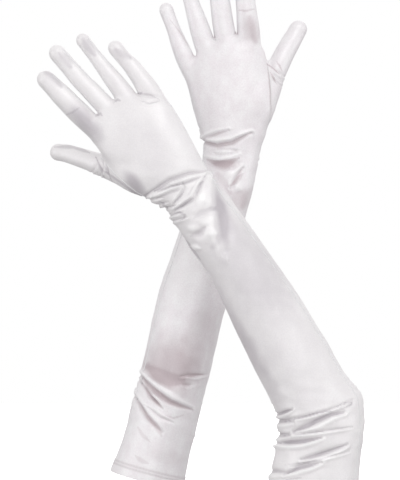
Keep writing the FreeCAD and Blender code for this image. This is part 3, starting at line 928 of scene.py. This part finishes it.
class Shader:
    """A material's node tree, with short ways to add to it."""

    def __init__(self, name):
        self.material = bpy.data.materials.new(name)
        self.material.use_nodes = True
        self.tree = self.material.node_tree
        self.main = self.tree.nodes["Principled BSDF"]
        self.coordinates = self.node("ShaderNodeTexCoord").outputs["Object"]

    def node(self, kind, **settings):
        node = self.tree.nodes.new(kind)
        for key, value in settings.items():
            setattr(node, key, value)
        return node

    def join(self, source, target):
        self.tree.links.new(source, target)

    def noise(self, size, detail=2.0, stretch=(1, 1, 1), rough=0.5):
        """Noise with lumps of that size, stretched along the axes."""
        scale = self.node("ShaderNodeMapping")
        scale.inputs["Scale"].default_value = [1 / (size * s) for s in stretch]
        self.join(self.coordinates, scale.inputs["Vector"])
        noise = self.node("ShaderNodeTexNoise")
        noise.inputs["Scale"].default_value = 1
        noise.inputs["Detail"].default_value = detail
        noise.inputs["Roughness"].default_value = rough
        self.join(scale.outputs[0], noise.inputs["Vector"])
        return noise.outputs["Fac"]

    def wave(self, period, turn, distortion):
        """Fine parallel threads, that many metres apart, at a slant."""
        place = self.node("ShaderNodeMapping")
        place.inputs["Rotation"].default_value = turn
        self.join(self.coordinates, place.inputs["Vector"])
        wave = self.node("ShaderNodeTexWave", wave_type="BANDS", bands_direction="X")
        wave.inputs["Scale"].default_value = 0.314 / period
        wave.inputs["Distortion"].default_value = distortion
        wave.inputs["Detail"].default_value = 1
        self.join(place.outputs[0], wave.inputs["Vector"])
        return wave.outputs["Fac"]

    def ramp(self, source, low, high, first, last):
        """Colours from first at low to last at high."""
        ramp = self.node("ShaderNodeValToRGB")
        ramp.color_ramp.elements[0].position, ramp.color_ramp.elements[1].position = low, high
        ramp.color_ramp.elements[0].color = (*first, 1)
        ramp.color_ramp.elements[1].color = (*last, 1)
        self.join(source, ramp.inputs["Fac"])
        return ramp.outputs["Color"]

    def spread(self, source, low, high, first=0, last=1):
        """A number from first..last spread over low..high."""
        node = self.node("ShaderNodeMapRange")
        node.inputs["From Min"].default_value, node.inputs["From Max"].default_value = first, last
        node.inputs["To Min"].default_value, node.inputs["To Max"].default_value = low, high
        self.join(source, node.inputs["Value"])
        return node.outputs["Result"]

    def mix(self, share, a, b, blend_type="MIX"):
        node = self.node("ShaderNodeMix", data_type="RGBA", blend_type=blend_type)
        if isinstance(share, float):
            node.inputs["Factor"].default_value = share
        else:
            self.join(share, node.inputs["Factor"])
        self.join(a, node.inputs[6])
        if isinstance(b, tuple):
            node.inputs[7].default_value = (*b, 1)
        else:
            self.join(b, node.inputs[7])
        return node.outputs[2]

    def bump(self, height, strength, distance, before=None):
        node = self.node("ShaderNodeBump")
        node.inputs["Strength"].default_value = strength
        node.inputs["Distance"].default_value = distance
        self.join(height, node.inputs["Height"])
        if before is not None:
            self.join(before, node.inputs["Normal"])
        return node.outputs["Normal"]


def satin(name, pale, shade, painted_shade_colour, mottle, fleck, roughness=(0.42, 0.52)):
    """White stretch satin: a soft sheen, a fine slanting weave, slow changes of tone, and painted shade and
    painted highlight from the painted-light attribute.
    """
    shader = Shader(name)
    tone = shader.ramp(shader.noise(mottle, 4, (1, 1, 1.5), 0.6), 0.38, 0.66, shade, pale)
    grain = shader.ramp(shader.noise(1.1 * MM, 3), 0.3, 0.7, fleck, (1, 1, 1))
    # painted shade towards the painted shade colour where the attribute is positive; a painted highlight
    # towards near white where it is negative
    painted_light_amount = shader.node("ShaderNodeAttribute", attribute_name=PAINTED_LIGHT_ATTRIBUTE).outputs["Fac"]
    ridge = shader.spread(painted_light_amount, 1, 0, first=-1, last=0)
    shaded = shader.mix(ridge, shader.mix(painted_light_amount, tone, painted_shade_colour), (0.985, 0.98, 0.98))
    shader.join(shader.mix(1.0, shaded, grain, "MULTIPLY"), shader.main.inputs["Base Color"])
    rough = shader.spread(shader.noise(6 * MM, 3), *roughness)
    shader.join(rough, shader.main.inputs["Roughness"])
    weave = shader.wave(0.35 * MM, (0.3, 0.9, 0.5), 1.5)
    pits = shader.noise(0.8 * MM, 2, (1, 1, 2))
    first = shader.bump(weave, 0.05, 0.03 * MM)
    shader.join(shader.bump(pits, 0.07, 0.05 * MM, first), shader.main.inputs["Normal"])
    shader.main.inputs["Specular IOR Level"].default_value = 0.5
    shader.main.inputs["Metallic"].default_value = 0.16
    shader.main.inputs["Sheen Weight"].default_value = 0.1
    shader.main.inputs["Sheen Roughness"].default_value = 0.4
    return shader.material


def thread(name, colour):
    """Twisted sewing thread."""
    shader = Shader(name)
    twist = shader.wave(0.25 * MM, (0.6, 0.2, 0.8), 0.5)
    shader.join(shader.ramp(twist, 0.1, 0.9, [c * 0.86 for c in colour], colour),
                shader.main.inputs["Base Color"])
    shader.join(shader.bump(twist, 0.3, 0.1 * MM), shader.main.inputs["Normal"])
    shader.main.inputs["Roughness"].default_value = 0.55
    return shader.material


# The third colour of each satin is the colour of its painted shade.
FRONT_SATIN = satin("front_satin", (0.91, 0.895, 0.90), (0.87, 0.85, 0.86),
                    (0.55, 0.52, 0.55), 22 * MM, (0.94, 0.935, 0.94))
REAR_SATIN = satin("rear_satin", (0.93, 0.922, 0.932), (0.885, 0.855, 0.875),
                   (0.56, 0.485, 0.505), 9 * MM, (0.92, 0.908, 0.915))
SEWING_THREAD = thread("sewing_thread", (0.85, 0.85, 0.86))


# --- pieces --------------------------------------------------------------------------

HEM_THICK, HEM_PROUD = 1.6 * MM, 0.5 * MM
SEAM_TURN = math.radians(66)      # the side seam, from the front towards the little finger
SEAM_TURNING = (-40 * MM, 20 * MM)    # from the wrist, where it moves to the hand's edge
SEAM_STEP = 2.5 * MM
SEAM_RADIUS = 0.45 * MM
FOURCHETTE_TURN = math.radians(56)
FINE_STEP = 2 * MM        # between the points of the finger and thumb seams
FINE_RADIUS = {"finger": 0.35 * MM, "hem": 0.28 * MM, "thumb": 0.4 * MM}
THREAD_END = 0.35         # how much of its radius a thread keeps at its ends
SEAM_SHORT = 7 * MM       # finger seams stop this far from the tip
SEAM_BACK = 1.5 * MM      # and are centred this far behind the glove's plane
STITCHES = 72             # round each row of the hem
STITCH_SHAPE = [(0.12, 0.4 * MM), (0.5, 0.62 * MM), (0.88, 0.4 * MM)]   # share, lift
GUSSET_LINE = [(66, 42), (54, 42), (43, 41), (31, 39), (18, 35.5), (8, 31)]


def tube(name, lines, radius, material, sides=6):
    """Round threads along lines of (place, normal), sunk halfway into the cloth."""
    points, faces = [], []
    for line in lines:
        first, last = len(points), len(line) - 1
        spots = np.array([place for place, _ in line])
        for k, (place, normal) in enumerate(line):
            way = unit(spots[min(k + 1, last)] - spots[max(k - 1, 0)])
            across = unit(np.cross(way, normal))
            up = np.cross(across, way)
            size = radius * (THREAD_END if k in (0, last) else 1.0)
            for side in range(sides):
                turn = 2 * math.pi * side / sides
                points.append(place + size * (across * math.cos(turn) + up * math.sin(turn)))
        for k in range(last):
            ring = first + k * sides
            for side in range(sides):
                a, b = ring + side, ring + (side + 1) % sides
                faces.append([a, b, b + sides, a + sides])
        faces.append([first + side for side in reversed(range(sides))])
        faces.append([first + last * sides + side for side in range(sides)])
    mesh = bpy.data.meshes.new(name)
    mesh.from_pydata([tuple(p) for p in points], [], faces)
    mesh.polygons.foreach_set("use_smooth", [True] * len(faces))
    mesh.materials.append(material)
    piece = bpy.data.objects.new(name, mesh)
    bpy.context.collection.objects.link(piece)
    return piece


def skin_line(skin, spots, ways):
    """Where rays from the spots, along the ways, leave through the skin."""
    line = []
    for spot, way in zip(spots, ways):
        place, normal = skin.hit(spot, way)
        if place is not None:
            line.append((np.array(place), np.array(normal)))
    return line


def limb_rays(path, plane_y, start, end, step, turn_at, back=0.0):
    """Spots along a limb's middle line, and the way out at an angle round from the front
    that may change along it; positive angles are to the +X side."""
    spots, ways = [], []
    for along in np.arange(start, end, step):
        turn = turn_at(along)
        point, way = path.at(along)
        side = np.array([way[1], 0, -way[0]]) / math.hypot(*way)
        spots.append((point[0], plane_y + back, point[1]))
        ways.append(side * math.sin(turn) + np.array([0, -1, 0]) * math.cos(turn))
    return spots, ways


def side_seams(glove, skin):
    """The long seam from the hem to the little finger, in the two parts that bend."""
    bones, path = glove.bones, glove.arm_path
    turning = [glove.wrist_at + at for at in SEAM_TURNING]

    def turn_at(along):
        share = blend_step(along, *turning)
        return -bones.thumb_side * (SEAM_TURN + (math.pi / 2 - SEAM_TURN) * share)

    cuff = glove.path_place(path, bones.cuff) + HEM_DEPTH
    split = glove.elbow_at + ARM_SPLIT
    parts = (("upper_side_seam", cuff, split),
             ("lower_side_seam", split, glove.wrist_at + SEAM_END))
    made = []
    for label, start, end in parts:
        rays = limb_rays(path, bones.y, start, end, SEAM_STEP, turn_at)
        made.append(tube(f"{glove.name}_{label}", [skin_line(skin, *rays)], SEAM_RADIUS,
                         SEWING_THREAD))
    return made


def finger_seams(glove, skin, digit):
    """The seams along the strips between the fingers: two on each side that has one."""
    bones = glove.bones
    sides = {"index": [-1], "middle": [-1, 1], "ring": [-1, 1], "little": [1]}[digit]
    path = glove.digit_paths[digit].path
    lines = []
    for side in sides:
        for turn in (FOURCHETTE_TURN, math.pi - FOURCHETTE_TURN):
            turn = side * bones.thumb_side * turn
            rays = limb_rays(path, bones.y, glove.digit_start[digit], path.length - SEAM_SHORT,
                             FINE_STEP, lambda _: turn, SEAM_BACK)
            lines.append(skin_line(skin, *rays))
    return tube(f"{glove.name}_{digit}_seams", lines, FINE_RADIUS["finger"], SEWING_THREAD)


def hem_stitches(glove, skin):
    """Two rows of short stitches round the hem."""
    bones = glove.bones
    lines = []
    for height in HEM_ROWS:
        centre = bones.cuff + bones.sleeve_way * height
        side = np.array([bones.sleeve_way[1], 0, -bones.sleeve_way[0]])
        for k in range(STITCHES):
            stitch = []
            for share, lift in STITCH_SHAPE:
                turn = 2 * math.pi * (k + share) / STITCHES
                way = side * math.sin(turn) + np.array([0, -1, 0]) * math.cos(turn)
                place, normal = skin.hit((centre[0], bones.y, centre[1]), way)
                stitch.append((np.array(place) + np.array(normal) * lift, np.array(normal)))
            lines.append(stitch)
    return tube(f"{glove.name}_hem_stitches", lines, FINE_RADIUS["hem"], SEWING_THREAD)


def thumb_seam(glove, skin):
    """The seam round the thumb's gusset, on the back of the hand and on the palm."""
    bones = glove.bones
    lines = []
    for facing in (-1, 1):
        spots, ways = [], []
        for along, out in smooth_line(GUSSET_LINE, FINE_STEP):
            point = bones.hand_point(along, out)
            spots.append((point[0], bones.y, point[1]))
            ways.append((0, facing, 0))
        lines.append(skin_line(skin, spots, ways))
    return tube(f"{glove.name}_thumb_seam", lines, FINE_RADIUS["thumb"], SEWING_THREAD)


def smooth_line(points, step):
    """Points every step along a smooth line through some millimetre points."""
    points = np.array(points, float) * MM
    lengths = np.concatenate([[0], np.cumsum(np.linalg.norm(np.diff(points, axis=0), axis=1))])
    at = np.arange(0, lengths[-1], step)
    return np.stack([smooth_curve(at, lengths, points[:, k]) for k in (0, 1)], 1)


def sew(glove, skin):
    """Every thread, riding with the cloth it is in."""
    name = glove.name
    top, forearm, hand = (f"{name}_{part}" for part in ("arm_top", "forearm", "hand"))
    stitches = hem_stitches(glove, skin)
    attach(stitches, top)
    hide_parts(f"{name}_hem_stitching")
    upper, lower = side_seams(glove, skin)
    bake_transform(upper, top, forearm, *glove.elbow_bend())
    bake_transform(lower, forearm, hand, *glove.wrist_bend())
    gusset = thumb_seam(glove, skin)
    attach(gusset, hand)
    for digit in FINGERS:
        seams = finger_seams(glove, skin, digit)
        place, way = glove.digit_cut(digit)
        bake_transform(seams, hand, f"{name}_{digit}_finger", place, place + way * REACH["digit"])


def build_pieces(glove, satin_material):
    name, bones = glove.name, glove.bones
    skin = Skin(glove)
    top, forearm, hand = (f"{name}_{part}" for part in ("arm_top", "forearm", "hand"))

    hem = shell(f"{name}_hem", *skin.piece("hem"), satin_material, HEM_THICK,
                HEM_PROUD)
    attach(hem, top)
    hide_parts(f"{name}_hem_band")

    sleeve = shell(f"{name}_elbow_sleeve", *skin.piece("sleeve"), satin_material, FABRIC)
    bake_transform(sleeve, top, forearm, *glove.elbow_bend())
    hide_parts(f"{name}_upper_sleeve", f"{name}_elbow_section", f"{name}_upper_seam",
                f"{name}_forearm_sleeve")

    palm = shell(f"{name}_hand_and_wrist", *skin.piece("palm"), satin_material, FABRIC)
    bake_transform(palm, forearm, hand, *glove.wrist_bend())
    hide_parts(f"{name}_wrist_section", f"{name}_hand_and_palm", f"{name}_thumb_gusset",
                f"{name}_forearm_seam", *(f"{name}_{f}_knuckle_section" for f in FINGERS))

    for digit in DIGITS:
        piece = shell(f"{name}_{digit}", *skin.piece(digit), satin_material, FABRIC)
        place, way = glove.digit_cut(digit)
        if digit == "thumb":
            body, stands_for = f"{name}_thumb", [f"{name}_thumb_stall"]
        else:
            body = f"{name}_{digit}_finger"
            fourchette = "fourchettes" if digit in ("middle", "ring") else "fourchette"
            stands_for = [f"{name}_{digit}_finger_stall", f"{name}_{digit}_{fourchette}"]
        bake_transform(piece, hand, body, place, place + way * REACH["digit"])
        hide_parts(*stands_for)
    return skin


# --- the two gloves ------------------------------------------------------------------
# The front's sizes, folds, patches and shades below were measured on the photograph: a helper
# outside this file turned points picked there into millimetres in the gloves' own frames. Many
# of the rows were then changed. The depths and the back's folds are guesses.

# Arm rows: along from the elbow, half-widths to -X and +X, half-depth, and how far back.
# Hand rows are the same from the wrist, with the power of the section's outline at the end.

LEFT_ARM = [
    (-119, 35.5, 35.5, 36, 0), (-89, 35, 35, 35.5, 0), (-57, 32, 32.5, 34, 0),
    (-30, 32, 32, 33.5, 0), (20, 32, 31, 32.5, 0), (47, 33, 30.5, 31.5, 0),
    (70, 33.5, 30, 31, 0), (94, 33.5, 30, 30, 0), (114, 31.5, 28.5, 29, 0),
    (134, 30, 27.5, 28, 0), (171, 27.5, 26.5, 25.5, 0), (200, 27, 27, 23, 0),
    (212, 25.5, 26.5, 21.5, 0),
]
LEFT_HAND = [
    (0, 26, 28.5, 19.5, 0, 2.0), (12, 28.5, 33, 20, 0, 2.1), (31, 31.2, 39, 19.5, 0, 2.3),
    (54, 33.6, 42, 17.5, 0, 2.4), (72, 33.2, 42, 15, 0, 2.5), (90, 32.5, 41.5, 12.5, 0, 2.5),
]
RIGHT_ARM = [
    (-119, 41, 41, 42, 0), (-89, 41, 41, 41, 0), (-70, 41, 40.5, 40, 0),
    (-45, 36.5, 41, 39, 0), (-18, 35.5, 44.5, 38, 0), (-2, 35.5, 45, 37, 0),
    (12, 36.5, 37, 36, 0), (50, 36, 34.5, 33.5, 0), (88, 31, 34.8, 31, 0),
    (121, 27, 34.2, 29, 0), (152, 24, 32.6, 27, 0), (181, 25, 31.3, 25, 0),
    (200, 25, 30.2, 23.5, 0), (212, 26, 29, 22.5, 0), (221, 24, 28.5, 21.5, 0),
]
RIGHT_HAND = [
    (-4, 28, 28.2, 20.5, 0, 2.0), (12, 33, 29.6, 20, 0, 2.1), (31, 39, 32.8, 19.5, 0, 2.3),
    (54, 40, 36.5, 17.5, 0, 2.4), (72, 39, 37, 15, 0, 2.5), (90, 38, 36.8, 12.5, 0, 2.5),
]

# Fingers: offsets of the middle line, towards the thumb, as (along, aside) from the root;
# half-widths as (along, half-width); and how far the tip curls back.
LEFT_FINGERS = {
    "index": ([(5, -0.4), (38, -0.9)], [(0, 10.6), (10, 10.4), (23, 9.4), (38, 8.8), (60, 7.8)], 4),
    "middle": ([(8, -2.3), (40, -2)], [(0, 9.7), (10, 9.9), (25, 9.6), (43, 9.2), (70, 7.6)], 5),
    "ring": ([(5, -1.6), (34, -2.4)], [(0, 9.6), (20, 9.5), (34, 8.6), (47, 7.4), (65, 7)], 5),
    "little": ([(0, -2.1), (16, -2.8), (31, -3)], [(0, 8.7), (16, 8), (30, 6.8), (45, 6.6)], 4),
}
RIGHT_FINGERS = {
    "index": ([(8, 0.5), (48, -0.4)], [(0, 10.0), (8, 10.3), (28, 10), (48, 8.7), (65, 7.8)], 5),
    "middle": ([(8, -1.4), (40, 0.2)], [(0, 9.3), (8, 9.3), (40, 8.6), (68, 7.5)], 5),
    "ring": ([(8, -1.1), (45, -0.6)], [(0, 9.0), (24, 8.6), (45, 7.2), (67, 6.4)], 5),
    "little": ([(6, -0.8), (18, -1.4), (29, -1.4), (42, 0.8)],
               [(0, 9.4), (6, 9.2), (17, 8.2), (29, 7.6), (39, 6.8)], 4),
}

# Thumb sizes: along from its hinge, half-width to the palm, half-width away and half-depth;
# its bow is away from the palm.
LEFT_THUMB = {"bow": [(0, 0), (22, 0)],
              "sizes": [(-42, 12, 17.5, 14), (-25, 12, 16, 14), (0, 10, 11, 11),
                        (25, 9, 8.8, 9), (45, 8, 8, 7.8)]}
RIGHT_THUMB = {"bow": [(0, -0.5), (22, -1.5), (36, -2.5)],
               "sizes": [(-42, 12, 17, 14), (-25, 12, 15, 14), (0, 10, 10.5, 11),
                         (25, 9, 8.4, 9), (45, 8, 7.6, 7.6)]}


def rows_of(groups):
    """Rows that start with their face and frame, from the rows of each face and frame."""
    return [(*place.split(), *row) for place, rows in groups.items() for row in rows]


# Folds, by the face and the frame they are placed in: depth, width, the share of the ridge on
# the line's left, and the valley's line. A negative depth is a ridge.
RIGHT_FOLDS = rows_of({
    "front arm": [
        (2.6, 2.2, 0.8, [(243, -36), (243, -8), (239, 10), (232, 28)]),
        (1.6, 1.3, 0.7, [(240, -28), (238, -10), (234, 0)]),
        (1.4, 1.3, 0.6, [(235, 1), (229, 0), (222, -17)]),
        (2.2, 1.8, 0.7, [(229, 24), (225, 15), (217, 2), (217, -20)]),
        (1.3, 1.1, 0.6, [(240, -38), (233, -21)]),
        (1.3, 1.1, 0.6, [(233, -38), (227, -19)]),
        (1.4, 1.1, 0.6, [(228, -37), (221, -16)]),
        (1.4, 1.1, 0.6, [(220, -36), (212, -13)]),
        (1.2, 1.1, 0.6, [(213, -34), (206, -12)]),
        (-1.6, 6, 0, [(217, 4), (209, 11)]),
        (1.8, 7, 0.5, [(218, 28), (191, 16), (162, 2)]),
        (1.1, 4.2, 0.3, [(204, -6), (200, 4), (199, 14)]),
        (1.1, 3.6, 0.4, [(191, -17), (188, -9), (190, -2)]),
        (-1.2, 4.5, 0, [(196, -16), (191, -10)]),
        (-1.2, 4.5, 0, [(184, -6), (180, 2)]),
        (-1.5, 2.2, 0, [(182, -23), (176, -18)]),
    ],
    "front sleeve": [
        (1.7, 1.2, 0.5, [(-23, -46), (-14, -14), (-7, 6), (0, 22)]),
        (1.1, 1.0, 0.3, [(-3, 20), (2, 23), (4, 29), (0, 29), (-3, 22)]),
        (3.0, 2.6, 0.5, [(-29, -24), (-19, -6), (-10, 10), (-8, 21)]),
        (1.7, 1.2, 0.5, [(-34, -46), (-29, -13), (-25, 7), (-21, 30)]),
        (3.0, 2.2, 0.5, [(-43, -48), (-37, -16), (-32, 2)]),
        (2.7, 2.2, 0.5, [(-53, -15), (-45, 8), (-37, 26)]),
        (1.3, 1.2, 0.5, [(-61, -24), (-49, 9), (-43, 29)]),
        (2.7, 2.2, 0.5, [(-68, -29), (-60, -15), (-54, 4)]),
        (2.2, 1.6, 0.5, [(-19, -47), (-9, -26)]),
        (3.2, 2.2, 0.4, [(-26, -56), (-21, -34), (-20, -24)]),
        (3.2, 2.2, 0.4, [(-38, -56), (-34, -36), (-33, -26)]),
        (-3.4, 4.5, 0, [(-46, -46), (-40, -34)]),
        (1.8, 1.2, 0.4, [(-46, -42), (-41, -34)]),
        (2.4, 2.4, 0.4, [(-72, -54), (-66, -36), (-66, -26)]),
    ],
    "front hand": [
        (0.9, 1.3, 0.6, [(72, -38), (80, -28), (88, -21)]),
        (0.8, 1.2, 0.6, [(72, -32), (79, -19)]),
        (1.0, 1.1, 0.6, [(68, 44), (62, 52), (60, 60)]),
        (1.0, 1.1, 0.6, [(62, 42), (55, 50), (52, 56)]),
        (0.9, 1.0, 0.5, [(55, 43), (47, 48)]),
    ],
})
# Patches of painted shade, and of painted light where the strength is negative: the middle, the half-sizes,
# the strength.
RIGHT_PAINTED_SHADING = rows_of({
    "front hand": [
        ((99, 32), (20, 8), 0.85),
        ((27, 33), (13, 6), 0.85),
        ((45, 2), (30, 22), 0.16),
    ],
    "front arm": [
        ((196, 17), (24, 7), 0.35),
        ((138, 12), (52, 26), 0.5),
        ((112, -31), (88, 8), 0.55),
        ((60, 2), (70, 34), 0.14),
    ],
})
# What both gloves have on the side away from the viewer, at the wrist and the elbow.
BACK_FOLDS = rows_of({
    "back arm": [
        (1.7, 1.7, 0.6, [(240, -36), (236, -6), (238, 18)]),
        (1.3, 1.3, 0.6, [(230, -36), (227, -12), (220, 4)]),
        (1.4, 1.5, 0.6, [(226, 36), (220, 10), (222, -8)]),
        (1.0, 1.5, 0.5, [(211, -18), (208, 0)]),
        (1.4, 2.0, 0.5, [(9, 26), (12, 6), (9, -12)]),
    ],
    "back sleeve": [
        (1.9, 2.2, 0.5, [(-7, -32), (-14, -8), (-10, 16)]),
        (1.6, 1.7, 0.5, [(-24, -28), (-29, -4), (-26, 24)]),
        (1.9, 2.3, 0.5, [(-40, 30), (-46, 6), (-42, -16)]),
        (1.2, 1.5, 0.5, [(-58, -24), (-61, -2)]),
    ],
})

# Painted shades, strokes of painted shadow on the cloth, narrow at their ends: the half-width, the
# strength and the stroke's line.
RIGHT_PAINTED_SHADES = rows_of({
    "front arm": [
        (2.8, 0.75, [(242, -25), (236, -1), (229, 22)]),
        (1.8, 0.5, [(236, -26), (234, -13), (230, -2)]),
        (1.3, 0.5, [(227, -3), (225, -9), (224, -16)]),
        (2.6, 0.5, [(226, 18), (225, 8), (221, 1), (218, -9), (218, -18)]),
        (3.0, 0.3, [(199, 16), (201, 9), (203, 0), (202, -8)]),
        (3.2, 0.4, [(190, -3), (188, -11), (190, -19)]),
        (6.5, 0.3, [(220, 26), (200, 21), (186, 13), (176, 6), (171, -7)]),
        (1.2, 0.6, [(216, -22), (214, -16), (209, -13), (207, -15), (207, -21)]),
        (1.2, 0.6, [(233, -26), (227, -24), (221, -23)]),
        (1.4, 0.6, [(191, -25), (181, -24), (167, -23)]),
    ],
    "front sleeve": [
        (1.8, 0.45, [(-16, -38), (-12, -32), (-9, -26)]),
        (0.9, 0.6, [(-21.4, -34.0), (-15.1, -16.2), (-9.3, -1.8), (-7.3, 9.5)]),
        (0.8, 0.5,
         [(-3.5, 13.8), (0.9, 19.1), (1.7, 27.1), (-0.8, 27.3), (-4.6, 19.6), (-5.8, 14.0)]),
        (1.9, 0.4, [(-28, -23), (-23, -10), (-17, -4), (-12, 5), (-8, 21)]),
        (0.9, 0.5, [(-33.9, -33.0), (-31.4, -20.6), (-28.1, -7.2), (-25.1, 6.3)]),
        (1.8, 0.45, [(-42, -39), (-39, -30), (-37, -14), (-32, 2)]),
        (1.8, 0.28, [(-53, -17), (-50, -4), (-43, 9), (-37, 26)]),
        (0.9, 0.45, [(-59.5, -28.7), (-55.4, -13.0), (-51.8, 3.8), (-43.5, 21.5)]),
        (1.9, 0.4, [(-67, -27), (-62, -18), (-59, -9), (-55, 1)]),
        (0.9, 0.5, [(-73.1, -27.6), (-69.0, -12.0)]),
    ],
    "front hand": [
        (1.1, 0.6, [(70, 45), (56, 48), (40, 43), (21, 38), (10, 32)]),
        (1.0, 0.6, [(69.3, 45.3), (47.6, 51.9)]),
        (1.0, 0.5, [(63.9, 43.0), (41.5, 48.0)]),
        (0.9, 0.4, [(59.9, 41.8), (50.7, 44.9)]),
        (4.5, 0.55, [(157, 32), (146, 29), (139, 29)]),
        (4.5, 0.5, [(163, 11), (153, 10), (147, 11)]),
        (4.8, 0.6, [(159, -14), (149, -13), (142, -13)]),
        (4.2, 0.5, [(133, -31), (125, -33), (119, -36)]),
        (2.2, 0.5, [(101, 69), (90, 55), (76, 47)]),
        (1.0, 0.45, [(117.1, 45.2), (113.7, 36.2), (113.2, 27.8)]),
        (1.0, 0.45, [(89.8, -20.8), (81.7, -28.9), (72.1, -32.8)]),
        (1.0, 0.45, [(83.1, -18.3), (75.5, -23.9), (71.5, -32.4)]),
        (1.3, 0.6, [(98, 22), (97, 17), (94, 17)]),
        (1.3, 0.6, [(97, 0), (97, -3), (94, -5)]),
        (1.3, 0.6, [(91, -21), (88, -23), (88, -25)]),
    ],
})
LEFT_FOLDS = rows_of({
    "front arm": [
        (2.5, 2.6, 0.6, [(-14, 22), (-12, 2), (-6, -14), (7, -38)]),
        (2.0, 1.8, 0.5, [(-20, -3), (-12, -16), (1, -34)]),
        (1.2, 1.0, 0.4, [(-17, -6), (-11, -18)]),
        (2.3, 2.4, 0.5, [(-41, 2), (-31, -16), (-14, -34)]),
        (1.4, 1.3, 0.6, [(-30, 10), (-28, -3), (-21, -20)]),
        (1.5, 1.6, 0.5, [(13, 6), (16, 12), (20, 28)]),
        (1.0, 1.5, 0.5, [(6, 10), (8, 18)]),
        (1.6, 7, 0.4, [(12, -28), (9, -14), (8, 3), (9, 14)]),
        (2.0, 1.8, 0.6, [(244, -9), (238, -19), (227, -34)]),
        (3.0, 2.2, 0.7, [(247, 12), (243, 7), (234, -3), (228, -16), (228, -38)]),
        (1.2, 1.2, 0.3, [(222, -20), (226, -12), (228, 3), (223, -3), (220, -14), (222, -20)]),
        (-1.5, 2.2, 0, [(216, -25), (216, -10), (226, 7)]),
        (1.7, 4.5, 0, [(209, -18), (211, -4), (217, 7)]),
        (1.9, 2.2, 0.7, [(214, 13), (203, 9), (193, 7)]),
        (-1.2, 4, 0, [(210, 2), (202, 0)]),
        (-1.2, 3.5, 0, [(198, 14), (192, 12)]),
    ],
    "front hand": [
        (1.0, 1.1, 0.6, [(69, 44), (60, 50), (52, 58)]),
        (1.0, 1.1, 0.6, [(64, 43), (56, 48), (47, 55)]),
        (0.9, 1.0, 0.5, [(56, 43), (45, 52)]),
    ],
})
# The left glove's patches of painted shade and painted light, in the same columns.
LEFT_PAINTED_SHADING = rows_of({
    "front arm": [
        ((20, -6), (28, 26), 0.75),
        ((62, 12), (46, 16), 0.3),
        ((122, -4), (44, 30), -0.55),
        ((213, -4), (7, 14), 0.4),
        ((184, 17), (12, 9), 0.45),
    ],
    "front hand": [
        ((101, 31), (16, 7), 0.35),
        ((52, 5), (56, 44), 0.08),
    ],
})

# The left glove's strokes of painted shadow, in the same columns.
LEFT_PAINTED_SHADES = rows_of({
    "front arm": [
        (3.4, 0.45, [(4, -28), (-4, -21), (-10, -5), (-13, 10), (-14, 24)]),
        (2.0, 0.35, [(-6, -24), (-13, -17), (-20, -2)]),
        (3.6, 0.4, [(-20, -25), (-29, -14), (-36, -5), (-44, 2)]),
        (1.4, 0.5, [(14, 10), (18, 18), (20, 26)]),
        (8.0, 0.45, [(14, -27), (8, -16), (6, -3), (11, 7)]),
        (1.8, 0.3, [(-42, -21), (-48, -15), (-52, -7)]),
        (2.2, 0.3, [(-68, -17), (-71, -10), (-72, -3)]),
        (11.0, 0.16, [(-60, -2), (-62, 13), (-60, 25)]),
        (1.0, 0.35, [(-24.8, 0.3), (-25.8, 8.5), (-20.1, 18.3)]),
        (3.0, 0.6, [(213, -21), (212, -13), (215, -2), (222, 7)]),
        (2.2, 0.5, [(194, 4), (200, 10), (209, 14)]),
        (5.0, 0.32, [(203, -8), (198, -2), (188, 7)]),
        (5.5, 0.25, [(198, 27), (189, 22), (179, 21)]),
    ],
    "front hand": [
        (1.0, 0.7, [(68.8, 41.8), (58.7, 41.7), (42.7, 40.4), (27.0, 38.0), (15.3, 35.1)]),
        (1.0, 0.8, [(68.1, 42.0), (63.3, 46.5), (57.0, 51.5)]),
        (0.9, 0.7, [(61.2, 42.8), (55.4, 45.2), (48.3, 47.4)]),
        (0.9, 0.6, [(69.3, 50.9), (64.9, 52.9), (59.2, 54.6)]),
        (1.3, 0.6, [(101, 16), (102, 18), (100, 20)]),
        (1.3, 0.5, [(101, -5), (102, -3), (101, -1)]),
        (1.3, 0.5, [(88, -25), (88, -23), (87, -22)]),
        (6.5, 0.36, [(113, 33), (103, 33), (91, 35)]),
        (1.0, 0.5, [(122.5, 22.9), (119.9, 30.5), (120.5, 38.7)]),
        (0.8, 0.4, [(123.8, -40.3), (108.9, -32.0), (91.6, -25.5)]),
    ],
})

bpy.context.scene.view_settings.view_transform = "Standard"
make_camera()
make_world()
make_floor()
make_lights()

left = Glove("left", Facts(1, LEFT_ARM, LEFT_HAND, LEFT_FINGERS, LEFT_THUMB,
                           LEFT_FOLDS, LEFT_PAINTED_SHADING, LEFT_PAINTED_SHADES, 1))
right = Glove("right", Facts(-1, RIGHT_ARM, RIGHT_HAND, RIGHT_FINGERS, RIGHT_THUMB,
                             RIGHT_FOLDS, RIGHT_PAINTED_SHADING, RIGHT_PAINTED_SHADES, 2))
for glove, cloth in ((left, REAR_SATIN), (right, FRONT_SATIN)):
    sew(glove, build_pieces(glove, cloth))
